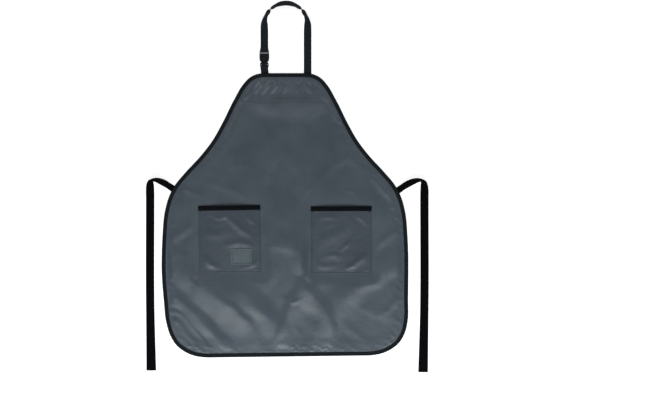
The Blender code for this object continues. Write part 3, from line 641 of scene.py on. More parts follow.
    def pocket_middle(self, pocket, dx, dy):
        """The height of the middle of a pocket's cloth, over its own places in mm."""
        x, y = self.from_pocket(pocket, dx, dy)
        base = self.edge_height(x, y, self.to_edge(x, y)) + SOLID_CLOTH / 2 + CLOTH_THICK + CLOSE
        across = np.clip(2.0 * dx / pocket.width, -1.0, 1.0)
        up = np.clip(dy / pocket.height + 0.5, 0.0, 1.0)
        rise = POCKET_RISE * (1.0 - across * across) * np.sin(0.5 * math.pi * up) ** 1.5
        inside = np.minimum(pocket.width / 2 - np.abs(dx), pocket.height / 2 + dy)
        below_mouth = pocket.height / 2 - dy
        loose = smooth((inside - POCKET_HEM) / WRINKLES_RISE)
        loose = loose * smooth((below_mouth - self.mouth_tape_width) / MOUTH_RISE)
        x_wandering = dx + POCKET_WANDER * waves(dx, dy, POCKET_WANDER_OVER, 0.4)
        wrinkles = sum(fold_height(fold, x_wandering, dy) for fold in POCKET_FOLDS[pocket.name])
        wrinkles = wrinkles + POCKET_RIPPLE * (1.0 + waves(dx, dy, POCKET_RIPPLE_OVER, 1.3))
        gathers = np.maximum(waves(dx, 0.3 * dy, GATHERS_OVER, 0.1), 0.0)
        gathers = gathers * fading(below_mouth, GATHERS_FLAT, GATHERS_GONE)
        gathers = gathers * smooth((below_mouth - GATHERS_FROM) / GATHERS_RISE)
        sides = SIDE_PUCKER * np.maximum(waves(dx, dy, SIDE_PUCKER_OVER, 2.0), 0.0)
        sides = sides * fading(inside, SIDE_PUCKER_FLAT, SIDE_PUCKER_GONE)
        sides = sides * smooth((inside - POCKET_HEM) / SIDE_PUCKER_RISE)
        # The hem is two layers thick, and its seam draws it in
        hem = 0.45 * fading(inside, POCKET_HEM, POCKET_HEM + 1.6) + 0.25 * fading(inside, 0.4, 1.6) - 0.25
        seam = -0.25 * fading(np.abs(inside - POCKET_HEM), 0.2, 1.4)
        layers = base + np.maximum(hem + seam, -0.05) + 0.25
        return layers + rise + WRINKLES_SHOWN * wrinkles * loose + GATHERS_SHOWN * gathers * loose + sides

    def put(self, x, y, z):
        """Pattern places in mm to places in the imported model's frame in metres."""
        x, y = self.lie(x, y)
        return np.stack(np.broadcast_arrays(x + SHIFT[0], y + SHIFT[1], z + SHIFT[2]), axis=-1) * MM

    def seam(self, pocket, start, end, count, high):
        """A straight line of `count` places on a pocket, `high` over the middle of its cloth."""
        dx = np.linspace(start[0], end[0], count)
        dy = np.linspace(start[1], end[1], count)
        return self.put(*self.from_pocket(pocket, dx, dy), self.pocket_middle(pocket, dx, dy) + high)


def material(name, weave, *looks):
    """The material of that name. If there is none yet, it is made and `weave` fills in its tree."""
    made = bpy.data.materials.get(name)
    if made is None:
        made = bpy.data.materials.new(name)
        made.use_nodes = True
        weave(made.node_tree, *looks)
    return made


def set_inputs(tree, node, inputs):
    """Sets a node's inputs from values, or links them from outputs."""
    for name, value in inputs.items():
        if isinstance(value, bpy.types.NodeSocket):
            tree.links.new(value, node.inputs[name])
        else:
            node.inputs[name].default_value = value


def add(tree, kind, inputs=None, output="Fac", **settings):
    """Adds a node with its settings, values and links. Gives the output of that name, or the first in use."""
    node = tree.nodes.new("ShaderNode" + kind)
    for name, value in settings.items():
        setattr(node, name, value)
    set_inputs(tree, node, inputs or {})
    return node.outputs.get(output) or next(socket for socket in node.outputs if socket.enabled)


def shade(tint, factor):
    """A colour made lighter or darker, with alpha."""
    return (*[min(part * factor, 1.0) for part in tint], 1.0)


def tone(tree, tint, value, low, high, dark, light):
    """Two shades of a tint, mixed by where a value lies between low and high."""
    share = add(tree, "MapRange", {"Value": value, "From Min": low, "From Max": high})
    shades = {"Factor": share, "A": shade(tint, dark), "B": shade(tint, light)}
    return add(tree, "Mix", shades, data_type="RGBA")


def finish(tree, inputs, bumps=()):
    """Lays bumps (height, strength, depth in metres) one on another, and sets the shader's inputs."""
    inputs = {"IOR": 1.5, **inputs}
    bumped = {}
    for height, strength, depth in bumps:
        bump = {"Height": height, "Strength": strength, "Distance": depth, **bumped}
        bumped = {"Normal": add(tree, "Bump", bump)}
    set_inputs(tree, tree.nodes["Principled BSDF"], {**inputs, **bumped})


# A wave texture repeats every 0.314 of a unit at scale 1
WAVE = 0.314159


def coated_polyester(tree, tint):
    """Coated polyester, woven plain and coated on the back.

    It looks smooth and slightly oily: broad soft highlights on the folds, a fine even weave, faint
    thicker threads both ways, and small crumples that never quite iron out.
    """
    cloth = add(tree, "UVMap", uv_map="cloth")
    # Threads are 0.25 mm apart; drawn every 1.2 mm, since finer ones are lost between the pixels
    threads = {"Vector": cloth, "Scale": WAVE / 0.0012, "Distortion": 0.6, "Detail": 1.0}
    warp = add(tree, "TexWave", threads, bands_direction="X")
    weft = add(tree, "TexWave", threads, bands_direction="Y")
    weave = add(tree, "Math", {0: warp, 1: weft}, operation="MULTIPLY")
    # Thick threads: streaks about 3 mm wide and 90 mm long, both ways
    streaks = {}
    for way, scale in enumerate([(1 / 0.003, 1 / 0.09, 1.0), (1 / 0.09, 1 / 0.003, 1.0)]):
        drawn_out = add(tree, "Mapping", {"Vector": cloth, "Scale": scale})
        streaks[way] = add(tree, "TexNoise", {"Vector": drawn_out, "Scale": 1.0, "Detail": 2.0})
    streaks = add(tree, "Math", streaks, operation="ADD")
    # The coating is a little uneven over 60 mm
    cloud = add(tree, "TexNoise", {"Vector": cloth, "Scale": 1 / 0.06, "Detail": 3.0, "Roughness": 0.55})
    speckle = add(tree, "TexNoise", {"Vector": cloth, "Scale": 1 / 0.004, "Detail": 2.0})
    mixed = add(tree, "Math", {0: streaks, 1: 0.35, 2: cloud}, operation="MULTIPLY_ADD")
    mixed = add(tree, "Math", {0: speckle, 1: 0.5, 2: mixed}, operation="MULTIPLY_ADD")
    rough = {"Value": cloud, "From Min": 0.3, "From Max": 0.7, "To Min": 0.40, "To Max": 0.50}
    # Crumples about 22 mm and 8 mm across
    crumple = {"Vector": cloth, "Scale": 1 / 0.022, "Detail": 3.0, "Roughness": 0.5, "Distortion": 0.8}
    crumple = add(tree, "TexNoise", crumple)
    fine = add(tree, "TexNoise", {"Vector": cloth, "Scale": 1 / 0.008, "Detail": 2.0, "Distortion": 0.4})
    finish(
        tree,
        {
            "Base Color": tone(tree, tint, mixed, 0.75, 1.45, 0.89, 1.13),
            "Roughness": add(tree, "MapRange", rough),
            "Specular IOR Level": 0.33,
        },
        [(crumple, 1.0, 0.0004), (fine, 1.0, 0.0001), (weave, 0.35, 0.00006)],
    )


def grosgrain(tree, tint, specular):
    """Polyester tape, woven with close ribs straight across it.

    It looks matt and black, with fine ribs that catch a little light and a soft fuzz on the edge.
    """
    tape = add(tree, "UVMap", uv_map="cloth")
    # Ribs are 0.7 mm apart; drawn every 1.4 mm
    ribs = {"Vector": tape, "Scale": WAVE / 0.0014, "Distortion": 0.4, "Detail": 1.0}
    ribs = add(tree, "TexWave", ribs, bands_direction="X")
    grain = add(tree, "TexNoise", {"Vector": tape, "Scale": 1 / 0.0016, "Detail": 3.0, "Roughness": 0.6})
    worn = add(tree, "TexNoise", {"Vector": tape, "Scale": 1 / 0.03, "Detail": 2.0})
    mixed = add(tree, "Math", {0: ribs, 1: 0.5, 2: grain}, operation="MULTIPLY_ADD")
    mixed = add(tree, "Math", {0: worn, 1: 0.4, 2: mixed}, operation="MULTIPLY_ADD")
    base = tone(tree, tint, mixed, 0.5, 1.3, 0.6, 1.6)
    finish(
        tree, {"Base Color": base, "Roughness": 0.75, "Specular IOR Level": specular},
        [(ribs, 0.7, 0.00015), (grain, 0.6, 0.0001)],
    )


def woven_webbing(tree, tint, specular):
    """Polypropylene webbing, a thick tape woven in slanting ribs with a firm edge.

    It looks nearly black, with small rows of shiny threads that slant one way and then the other.
    """
    band = add(tree, "UVMap", uv_map="cloth")
    parts = add(tree, "SeparateXYZ", {"Vector": band}).node.outputs
    # The slant turns over every 4 mm across the strap; threads are 0.9 mm apart, drawn every 1.6 mm
    turns = add(tree, "Math", {0: parts["Y"], 1: 0.004}, operation="PINGPONG")
    slant = add(tree, "Math", {0: turns, 1: 0.9, 2: parts["X"]}, operation="MULTIPLY_ADD")
    line = add(tree, "CombineXYZ", {"X": slant, "Y": parts["Y"]})
    threads = {"Vector": line, "Scale": WAVE / 0.0016, "Distortion": 0.3, "Detail": 1.0}
    threads = add(tree, "TexWave", threads, bands_direction="X")
    grain = add(tree, "TexNoise", {"Vector": band, "Scale": 1 / 0.0018, "Detail": 3.0, "Roughness": 0.6})
    mixed = add(tree, "Math", {0: threads, 1: 0.8, 2: grain}, operation="MULTIPLY_ADD")
    base = tone(tree, tint, mixed, 0.45, 1.3, 0.5, 1.7)
    finish(
        tree, {"Base Color": base, "Roughness": 0.7, "Specular IOR Level": specular},
        [(threads, 0.8, 0.00025), (grain, 0.5, 0.0001)],
    )


def woven_label(tree, tint, width, height):
    """A damask label: polyester threads woven very finely, which gives a satin face with faint rows.

    A plain darker line is woven in round it.
    """
    face = add(tree, "UVMap", uv_map="cloth")
    # Rows are 0.15 mm apart; drawn every 0.8 mm
    rows = {"Vector": face, "Scale": WAVE / 0.0008, "Distortion": 0.5, "Detail": 1.0}
    rows = add(tree, "TexWave", rows, bands_direction="Y")
    grain = add(tree, "TexNoise", {"Vector": face, "Scale": 1 / 0.0025, "Detail": 3.0})
    mixed = add(tree, "Math", {0: rows, 1: 0.4, 2: grain}, operation="MULTIPLY_ADD")
    # The line lies 3.7 mm in from the label's edge and is 1 mm wide
    parts = add(tree, "SeparateXYZ", {"Vector": face}).node.outputs
    insets = {}
    for way, (axis, size) in enumerate([("X", width), ("Y", height)]):
        off = add(tree, "Math", {0: parts[axis]}, operation="ABSOLUTE")
        insets[way] = add(tree, "Math", {0: size / 2, 1: off}, operation="SUBTRACT")
    inset = add(tree, "Math", insets, operation="MINIMUM")
    line = add(tree, "Math", {0: inset, 1: 0.0037, 2: 0.0005}, operation="COMPARE")
    base = {"Factor": line, "A": tone(tree, tint, mixed, 0.4, 1.0, 0.85, 1.15), "B": shade(tint, 0.3)}
    base = add(tree, "Mix", base, data_type="RGBA")
    finish(tree, {"Base Color": base, "Roughness": 0.55, "Specular IOR Level": 0.3}, [(rows, 0.5, 0.00008)])


def moulded_acetal(tree, tint):
    """Acetal, injection moulded: a smooth black plastic with a faint waxy gloss and fine mould texture."""
    place = add(tree, "TexCoord", output="Object")
    texture = add(tree, "TexNoise", {"Vector": place, "Scale": 1 / 0.0006, "Detail": 2.0})
    flow = add(tree, "TexNoise", {"Vector": place, "Scale": 1 / 0.007, "Detail": 2.0})
    rough = {"Value": flow, "From Min": 0.3, "From Max": 0.7, "To Min": 0.28, "To Max": 0.42}
    finish(
        tree,
        {
            "Base Color": tone(tree, tint, flow, 0.0, 1.0, 0.5, 1.8),
            "Roughness": add(tree, "MapRange", rough),
            "IOR": 1.48,
            "Specular IOR Level": 0.14,
        },
        [(texture, 0.3, 0.00003)],
    )


def sewing_thread(tree, tint):
    """Spun polyester thread: twisted and matt, a shade off the cloth that it holds."""
    place = add(tree, "TexCoord", output="Object")
    twist = add(tree, "TexNoise", {"Vector": place, "Scale": 1 / 0.0012, "Detail": 2.0})
    base = tone(tree, tint, twist, 0.0, 1.0, 0.6, 1.5)
    finish(tree, {"Base Color": base, "Roughness": 0.7, "Specular IOR Level": 0.1})


def opal_acrylic(tree, tint):
    """Opal acrylic, the top of a light table: even matt white, lit from below so that shadows stay faint."""
    place = add(tree, "TexCoord", output="Object")
    mottle = add(tree, "TexNoise", {"Vector": place, "Scale": 6.0, "Detail": 3.0})
    finish(
        tree,
        {
            "Base Color": tone(tree, tint, mottle, 0.0, 1.0, 0.97, 1.0),
            "Roughness": 0.9,
            "Specular IOR Level": 0.1,
            "Emission Color": (1.0, 1.0, 1.0, 1.0),
            "Emission Strength": TABLE_GLOW,
        },
    )


def add_piece(name, shape, cover):
    """A bmesh as a new smooth object of the scene, in place of any object that had its name."""
    old = bpy.data.objects.get(name)
    if old:
        bpy.data.objects.remove(old, do_unlink=True)
    for face in shape.faces:
        face.smooth = True
    mesh = bpy.data.meshes.new(name)
    shape.to_mesh(mesh)
    shape.free()
    mesh.materials.append(cover)
    piece = bpy.data.objects.new(name, mesh)
    bpy.context.scene.collection.objects.link(piece)
    return piece


def laid_grid(places, flat):
    """A bmesh grid whose corner (i, j) is at places[i, j], with flat[i, j] as its place on the cloth."""
    along, across = places.shape[0] - 1, places.shape[1] - 1
    grid = bmesh.new()
    cloth = grid.loops.layers.uv.new("cloth")
    bmesh.ops.create_grid(grid, x_segments=along, y_segments=across, size=0.5)
    corner = {}
    for vertex in grid.verts:
        corner[vertex] = (round((vertex.co.x + 0.5) * along), round((vertex.co.y + 0.5) * across))
    for vertex, (i, j) in corner.items():
        vertex.co = places[i, j]
    for face in grid.faces:
        for loop in face.loops:
            loop[cloth].uv = flat[corner[loop.vert]]
    return grid


def sheet_piece(name, places, flat, thickness, cover):
    """A cloth laid as a grid of places in metres and thickened evenly. `flat` is its own x and y in mm."""
    grid = laid_grid(places, np.stack(np.broadcast_arrays(*flat), axis=-1) * MM)
    piece = add_piece(name, grid, cover)
    thick = piece.modifiers.new("thickness", "SOLIDIFY")
    thick.thickness = thickness * MM
    thick.offset = 0.0
    thick.use_even_offset = True
    return piece


def ribbon_piece(name, stations, cover):
    """Webbing through stations (middle, way across, width) in mm, as a closed band with round edges."""
    shares = [math.sin(math.pi * (k / STRAP_COLUMNS - 0.5)) for k in range(STRAP_COLUMNS + 1)]
    ring = [(share, math.sqrt(max(1.0 - share ** 8, 0.0))) for share in shares]
    ring += [(share, -up) for share, up in reversed(ring[1:-1])]
    ring.append(ring[0])
    middles = [middle for middle, _, _ in stations]
    runs = runs_along(middles)
    places = np.zeros((len(stations), len(ring), 3))
    flat = np.zeros((len(stations), len(ring), 2))
    for i, (middle, across, width) in enumerate(stations):
        ahead = middles[min(i + 1, len(middles) - 1)] - middles[max(i - 1, 0)]
        up = ahead.cross(across).normalized()
        for j, (share, high) in enumerate(ring):
            place = middle + across * (share * width / 2) + up * (high * WEBBING_THICK / 2)
            places[i, j] = [(place[k] + SHIFT[k]) * MM for k in range(3)]
            flat[i, j] = (runs[i] * MM, share * width / 2 * MM)
    band = laid_grid(places, flat)
    bmesh.ops.remove_doubles(band, verts=band.verts, dist=1e-7)
    bmesh.ops.holes_fill(band, edges=[edge for edge in band.edges if edge.is_boundary], sides=0)
    bmesh.ops.recalc_face_normals(band, faces=band.faces)
    return add_piece(name, band, cover)


def stitches_piece(name, seams, cover):
    """Rows of stitches: each seam is a line of places in metres, with a stitch along it at each pitch."""
    thread = bmesh.new()
    size = Matrix.Diagonal((STITCH_LENGTH * MM / 2, THREAD * MM / 2, THREAD * MM / 2, 1.0))
    for seam in seams:
        count = max(int(runs_along(seam)[-1] / (STITCH_PITCH * MM)), 2)
        middles = spaced(seam, 2 * count + 1)
        for k in range(count):
            start, middle, end = (Vector(middles[2 * k + step]) for step in range(3))
            turn = (end - start).to_track_quat("X", "Z").to_matrix().to_4x4()
            bmesh.ops.create_icosphere(
                thread, subdivisions=1, radius=1.0, matrix=Matrix.Translation(middle) @ turn @ size
            )
    return add_piece(name, thread, cover)


def folded_section(width):
    """A tape folded over a cloth edge: ways inwards from the edge, ways up from the cloth, and runs."""
    leaf = CLOTH_THICK / 2 + TAPE_THICK / 2 + CLOSE
    nose = TAPE_THICK / 2 - TAPE_WRAP
    upper = [
        (nose, 0.0),
        (nose + 0.12, 0.55 * leaf),
        (nose + 0.6, 0.98 * leaf),
        (0.35 * width, leaf + 0.22),
        (width - TAPE_SEAM - 0.9, leaf + 0.10),
        (width - TAPE_SEAM, leaf - 0.02),
        (width - TAPE_SEAM + 0.9, leaf + 0.08),
        (width, leaf),
    ]
    section = np.array([(inwards, -up) for inwards, up in reversed(upper[1:])] + upper)
    return section[:, 0], section[:, 1], runs_along(section)


def seam_on_tape(width):
    """Where the stitches of a tape lie: how far in from the cloth's edge, and up from its middle."""
    return width - TAPE_SEAM, CLOTH_THICK / 2 + CLOSE + TAPE_THICK + 0.02


def dress(context):
    """The lay of the cloth and the colours, from the scene's properties."""
    return Lay(context.scene.apron_sizes), context.scene.apron_colours


class ApronOperator:
    bl_options = {"REGISTER", "UNDO"}


class APRON_OT_panel(ApronOperator, bpy.types.Operator):
    """Lay the panel with its folds, wrinkles and puckers"""

    bl_idname = "apron.panel"
    bl_label = "Panel"

    def execute(self, context):
        lay, colours = dress(context)
        rows = lay.side + TAPE_WRAP * turned_right(np.gradient(lay.side, axis=0))
        rows[0] = (lay.side[0][0], lay.height - TAPE_WRAP)
        rows[-1] = (lay.side[-1][0], TAPE_WRAP)
        x = rows[:, :1] * np.linspace(-1.0, 1.0, COLUMNS + 1)
        y = np.repeat(rows[:, 1:], COLUMNS + 1, axis=1)
        cover = material("coated_polyester_panel", coated_polyester, colours.cloth)
        places = lay.put(x, y, lay.panel_middle(x, y))
        piece = sheet_piece("panel_cloth", places, (x, y), CLOTH_THICK, cover)
        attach(piece, "root")
        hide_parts("apron_panel")
        return {"FINISHED"}


class APRON_OT_edge_tape(ApronOperator, bpy.types.Operator):
    """Fold the binding over the panel's edge and sew it down"""

    bl_idname = "apron.edge_tape"
    bl_label = "Edge tape"

    def execute(self, context):
        lay, colours = dress(context)
        points, inwards, runs = lay.loop()
        into, up, girth = folded_section(lay.tape_width - TAPE_WRAP)
        x, y = (points[:, k, None] + inwards[:, k, None] * (TAPE_WRAP + into) for k in (0, 1))
        inner = (points + EDGE_FOOT * inwards).T
        base = lay.edge_height(*inner, lay.to_edge(*inner)) + SOLID_CLOTH / 2
        soft = 0.12 * waves(runs, 0.0, 17.0, 0.5)
        places = lay.put(x, y, (base + soft)[:, None] + up)
        cover = material("grosgrain_edge_tape", grosgrain, colours.tape, 0.03)
        piece = sheet_piece("edge_tape", places, (runs[:, None], girth), TAPE_THICK, cover)
        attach(piece, "root")
        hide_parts("edge_binding")
        into, high = seam_on_tape(lay.tape_width - TAPE_WRAP)
        seam = lay.put(*(points + (TAPE_WRAP + into) * inwards).T, base + high)
        cover = material("spun_thread_black", sewing_thread, linear(BLACK_THREAD))
        thread = stitches_piece("edge_stitches", [seam], cover)
        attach(thread, "root")
        return {"FINISHED"}


def lines(size, fine):
    """Places along a pocket's width or height, closer near both ends."""
    near = [0.0, 0.6, 1.3, 2.0, 2.6, 3.2, 4.0, 5.2, 7.0]
    count = int((size - 2 * near[-1]) / fine)
    middle = np.linspace(near[-1], size - near[-1], count + 1)
    return np.concatenate([near[:-1], middle, [size - value for value in reversed(near[:-1])]])


class APRON_OT_pockets(ApronOperator, bpy.types.Operator):
    """Lay both pockets, bind their mouths and sew them on"""

    bl_idname = "apron.pockets"
    bl_label = "Pockets"

    def execute(self, context):
        lay, colours = dress(context)
        cover = material("coated_polyester_pocket", coated_polyester, colours.pocket)
        tape = material("grosgrain_mouth_tape", grosgrain, colours.mouth_tape, 0.01)
        thread = material("spun_thread_black", sewing_thread, linear(BLACK_THREAD))
        for pocket in lay.pockets:
            across = lines(pocket.width, POCKET_STEP) - pocket.width / 2
            up = lines(pocket.height - TAPE_WRAP, POCKET_STEP) - pocket.height / 2
            dx, dy = np.meshgrid(across, up, indexing="ij")
            x, y = lay.from_pocket(pocket, dx, dy)
            places = lay.put(x, y, lay.pocket_middle(pocket, dx, dy))
            piece = sheet_piece(f"pocket_cloth_{pocket.name}", places, (x, y), CLOTH_THICK, cover)
            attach(piece, "root")
            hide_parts(f"pocket_{pocket.name}")
            self.bind_mouth(lay, pocket, across, tape, thread)
            self.sew_on(lay, pocket, thread)
        return {"FINISHED"}

    def bind_mouth(self, lay, pocket, across, tape, thread):
        """Tape folded over the mouth's edge, and stitches along it."""
        top = pocket.height / 2 - TAPE_WRAP
        into, up, girth = folded_section(lay.mouth_tape_width - TAPE_WRAP)
        along = np.concatenate([[across[0] - MOUTH_SPARE], across, [across[-1] + MOUTH_SPARE]])
        dx, dy = np.meshgrid(along, top - into, indexing="ij")
        base = lay.pocket_middle(pocket, dx, np.minimum(dy, top))
        places = lay.put(*lay.from_pocket(pocket, dx, dy), base + up)
        piece = sheet_piece(f"mouth_tape_{pocket.name}", places, (along[:, None], girth), TAPE_THICK, tape)
        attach(piece, "root")
        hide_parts(f"pocket_binding_{pocket.name}")
        into, high = seam_on_tape(lay.mouth_tape_width - TAPE_WRAP)
        down = np.full(len(across), top - into)
        z = lay.pocket_middle(pocket, across, down) + high
        seam = lay.put(*lay.from_pocket(pocket, across, down), z)
        sewn = stitches_piece(f"mouth_stitches_{pocket.name}", [seam], thread)
        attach(sewn, "root")

    def sew_on(self, lay, pocket, thread):
        """Stitches down one side, along the bottom and up the other, and tacks at the mouth's ends."""
        side = pocket.width / 2 - POCKET_HEM
        bottom = -pocket.height / 2 + POCKET_HEM
        top = pocket.height / 2 - 2.0
        corners = [(-side, top), (-side, bottom), (side, bottom), (side, top)]
        pairs = list(zip(corners, corners[1:]))
        for edge in (-1, 1):
            for row in range(TACK_ROWS):
                y = top - TACK_DOWN - TACK_PITCH * row
                pairs.append(((edge * (side - TACK_IN), y), (edge * (side + TACK_OUT), y)))
        over = CLOTH_THICK / 2 + STITCH_OVER
        seams = [lay.seam(pocket, start, end, SEAM_POINTS, over) for start, end in pairs]
        sewn = stitches_piece(f"pocket_stitches_{pocket.name}", seams, thread)
        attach(sewn, "root")


class APRON_OT_label(ApronOperator, bpy.types.Operator):
    """Lay the bare woven label on the left pocket and sew it round"""

    bl_idname = "apron.label"
    bl_label = "Label"

    def execute(self, context):
        lay, colours = dress(context)
        pocket = lay.pockets[0]
        wide, tall = lay.label_width, lay.label_height
        middle_x, middle_y = LABEL_X_SHARE * pocket.width, LABEL_Y_SHARE * pocket.height
        across, up = lines(wide, LABEL_STEP) - wide / 2, lines(tall, LABEL_STEP) - tall / 2
        dx, dy = np.meshgrid(across, up, indexing="ij")
        inside = np.minimum(wide / 2 - np.abs(dx), tall / 2 - np.abs(dy))
        hem = 0.30 * fading(inside, 2.2, 3.6) - 0.14 * fading(np.abs(inside - LABEL_SEAM), 0.2, 1.0)
        over = lay.pocket_middle(pocket, middle_x + dx, middle_y + dy)
        z = over + CLOTH_THICK / 2 + LABEL_THICK / 2 + CLOSE + LABEL_OVER + hem
        places = lay.put(*lay.from_pocket(pocket, middle_x + dx, middle_y + dy), z)
        cover = material("damask_label", woven_label, colours.label, wide * MM, tall * MM)
        piece = sheet_piece("label_cloth", places, (dx, dy), LABEL_THICK, cover)
        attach(piece, "root")
        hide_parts("label_patch")
        left, right = (middle_x + edge * (wide / 2 - LABEL_SEAM) for edge in (-1, 1))
        low, high = (middle_y + edge * (tall / 2 - LABEL_SEAM) for edge in (-1, 1))
        corners = [(left, low), (right, low), (right, high), (left, high), (left, low)]
        over = CLOTH_THICK / 2 + LABEL_THICK + CLOSE + LABEL_OVER + 0.15
        pairs = zip(corners, corners[1:])
        seams = [lay.seam(pocket, start, end, LABEL_SEAM_POINTS, over) for start, end in pairs]
        cover = material("spun_thread_grey", sewing_thread, linear(GREY_THREAD))
        thread = stitches_piece("label_stitches", seams, cover)
        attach(thread, "root")
        return {"FINISHED"}


def on_surface(way):
    """Stations (middle, way across, width) of a strap on the surface, leaning on edge by its roll."""
    anchors = [(row.x, row.y, row.roll, row.width) for row in way]
    points = through(anchors, [row.steps * STATIONS_PER_STEP for row in way])
    stations = []
    for index, (x, y, roll, width) in enumerate(points):
        before, after = points[max(index - 1, 0)], points[min(index + 1, len(points) - 1)]
        far = math.dist(before[:2], after[:2])
        right = Vector(((after[1] - before[1]) / far, -(after[0] - before[0]) / far, 0.0))
        lean = math.radians(roll)
        across = right * math.cos(lean) + Vector((0.0, 0.0, math.sin(lean)))
        height = abs(math.sin(lean)) * width / 2 + abs(math.cos(lean)) * SOLID_WEBBING / 2 + FLOOR_CLEAR
        stations.append((Vector((x, y, height)), across, width))
    return stations


def round_bar(bar_y, away, tail):
    """A strap's middle line (y, z) over a bar's top, round it and back below. It comes from `away`."""
    line = []
    for step in range(BAR_STEPS + 1):
        angle = math.pi * step / BAR_STEPS
        line.append((bar_y - away * BAR_TURN * math.sin(angle), BAR_HEIGHT + BAR_TURN * math.cos(angle)))
    line.append((bar_y + away * tail / 2, BAR_HEIGHT - BAR_TURN))
    line.append((bar_y + away * tail, BAR_HEIGHT - BAR_TURN))
    return line


class APRON_OT_neck_strap(ApronOperator, bpy.types.Operator):
    """Run the neck webbing round its loop and through the buckle"""

    bl_idname = "apron.neck_strap"
    bl_label = "Neck strap"

    def execute(self, context):
        lay, colours = dress(context)
        cover = material("webbing_neck", woven_webbing, colours.neck, 0.05)
        for name, node, stations in (
            ("neck_webbing", "neck_strap", self.loop(lay)),
            ("neck_webbing_stub", "neck_strap_stub", self.stub(lay)),
        ):
            piece = ribbon_piece(name, stations, cover)
            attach(piece, "root")
            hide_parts(node)
        return {"FINISHED"}

    def loop(self, lay):
        """Up from the bib's right, round the loop, down to the socket and round its bar."""
        wide = lay.neck_width
        loop_y = lay.height + LOOP_RUN
        buckle_y = lay.height + STUB_RUN
        right, left = LOOP_X + LOOP_RADIUS, LOOP_X - LOOP_RADIUS
        way = [
            Way(right, lay.height - NECK_TAIL, 0.0, wide, 2),
            Way(right, lay.height + 3.0, 0.0, wide, 3),
            Way(right, loop_y - LOOP_TWIST, 0.0, wide, 2),
            Way(right, loop_y - 0.4 * LOOP_TWIST, LOOP_TWIST_ROLL, wide, 2),
        ]
        for row in LOOP:
            angle = math.radians(row.from_top)
            x = LOOP_X + LOOP_RADIUS * math.sin(angle)
            way.append(Way(x, loop_y + LOOP_RADIUS * math.cos(angle), row.roll, wide, 3))
        way[-1] = way[-1]._replace(steps=2)
        way.append(Way(left, loop_y - 0.4 * LOOP_TWIST, LOOP_TWIST_ROLL, wide, 2))
        way.append(Way(left, loop_y - LOOP_TWIST, 0.0, wide, 0))
        stations = on_surface(way)
        flat = SOLID_WEBBING / 2 + FLOOR_CLEAR
        top = BAR_HEIGHT + BAR_TURN
        over_rim = RIM_HIGH + SOLID_GAP + SOLID_WEBBING / 2 + 0.6
        free = loop_y - LOOP_TWIST - buckle_y - SOCKET_TO
        down = [
            (SOCKET_TO + 0.6 * free, flat),
            (SOCKET_TO + 0.36 * free, flat + 0.12 * (top - flat)),
            (SOCKET_TO + 0.16 * free, flat + 0.50 * (top - flat)),
            (SOCKET_TO - 1.0, max(over_rim, flat + 0.8 * (top - flat))),
            (SOCKET_BAR_Y + 1.5, top - 0.1),
        ]
        for y, z in through(down, [6, 6, 6, 6, 0], 1) + round_bar(SOCKET_BAR_Y, 1.0, 3.2):
            stations.append((Vector((left, buckle_y + y, z)), Vector((-1.0, 0.0, 0.0)), wide))
        return stations

    def stub(self, lay):
        """Up from the bib's left to the plug and round its bar."""
        flat = SOLID_WEBBING / 2 + FLOOR_CLEAR
        top = BAR_HEIGHT + BAR_TURN
        buckle_y = lay.height + STUB_RUN
        free = PLUG_BAR_Y + STUB_RUN
        up = [
            (-STUB_RUN - NECK_TAIL, flat),
            (-STUB_RUN + 0.07 * free, flat),
            (-STUB_RUN + 0.32 * free, flat + 0.15 * (top - flat)),
            (-STUB_RUN + 0.57 * free, flat + 0.50 * (top - flat)),
            (PLUG_BAR_Y - 1.8, flat + 0.92 * (top - flat)),
        ]
        stations = []
        for y, z in through(up, [6, 6, 6, 8, 0], 1) + round_bar(PLUG_BAR_Y, -1.0, 3.6):
            aside = 1.6 * float(smooth(-y / 20.0))
            middle = Vector((LOOP_X - LOOP_RADIUS + aside, buckle_y + y, z))
            stations.append((middle, Vector((1.0, 0.0, 0.0)), lay.neck_width))
        return stations


class APRON_OT_ties(ApronOperator, bpy.types.Operator):
    """Run both ties from the sides, turned down at their twist"""

    bl_idname = "apron.ties"
    bl_label = "Ties"

    def execute(self, context):
        lay, colours = dress(context)
        cover = material("webbing_tie", woven_webbing, colours.tie, 0.01)
        for tie in TIES:
            x, y, (inwards_x, inwards_y) = lay.ties[tie.name]
            sewn = lay.tie_width * (1.0 - TIE_PLEAT)
            way = [Way(x + TIE_TAIL * inwards_x, y + TIE_TAIL * inwards_y, 0.0, sewn, 2)]
            for row in TIE_ROWS:
                out = x + tie.side * row.out * tie.reach
                up = y + row.up * tie.rise - row.down * TIE_DROP
                wide = lay.tie_width * (1.0 - TIE_PLEAT * float(fading(row.out, 0.03, 0.4)))
                way.append(Way(out, up, -tie.side * row.roll, wide, row.steps))
            way[-1] = way[-1]._replace(width=lay.tie_end_width)
            piece = ribbon_piece(f"tie_webbing_{tie.name}", on_surface(way), cover)
            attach(piece, "root")
            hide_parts(f"tie_{tie.name}")
        return {"FINISHED"}


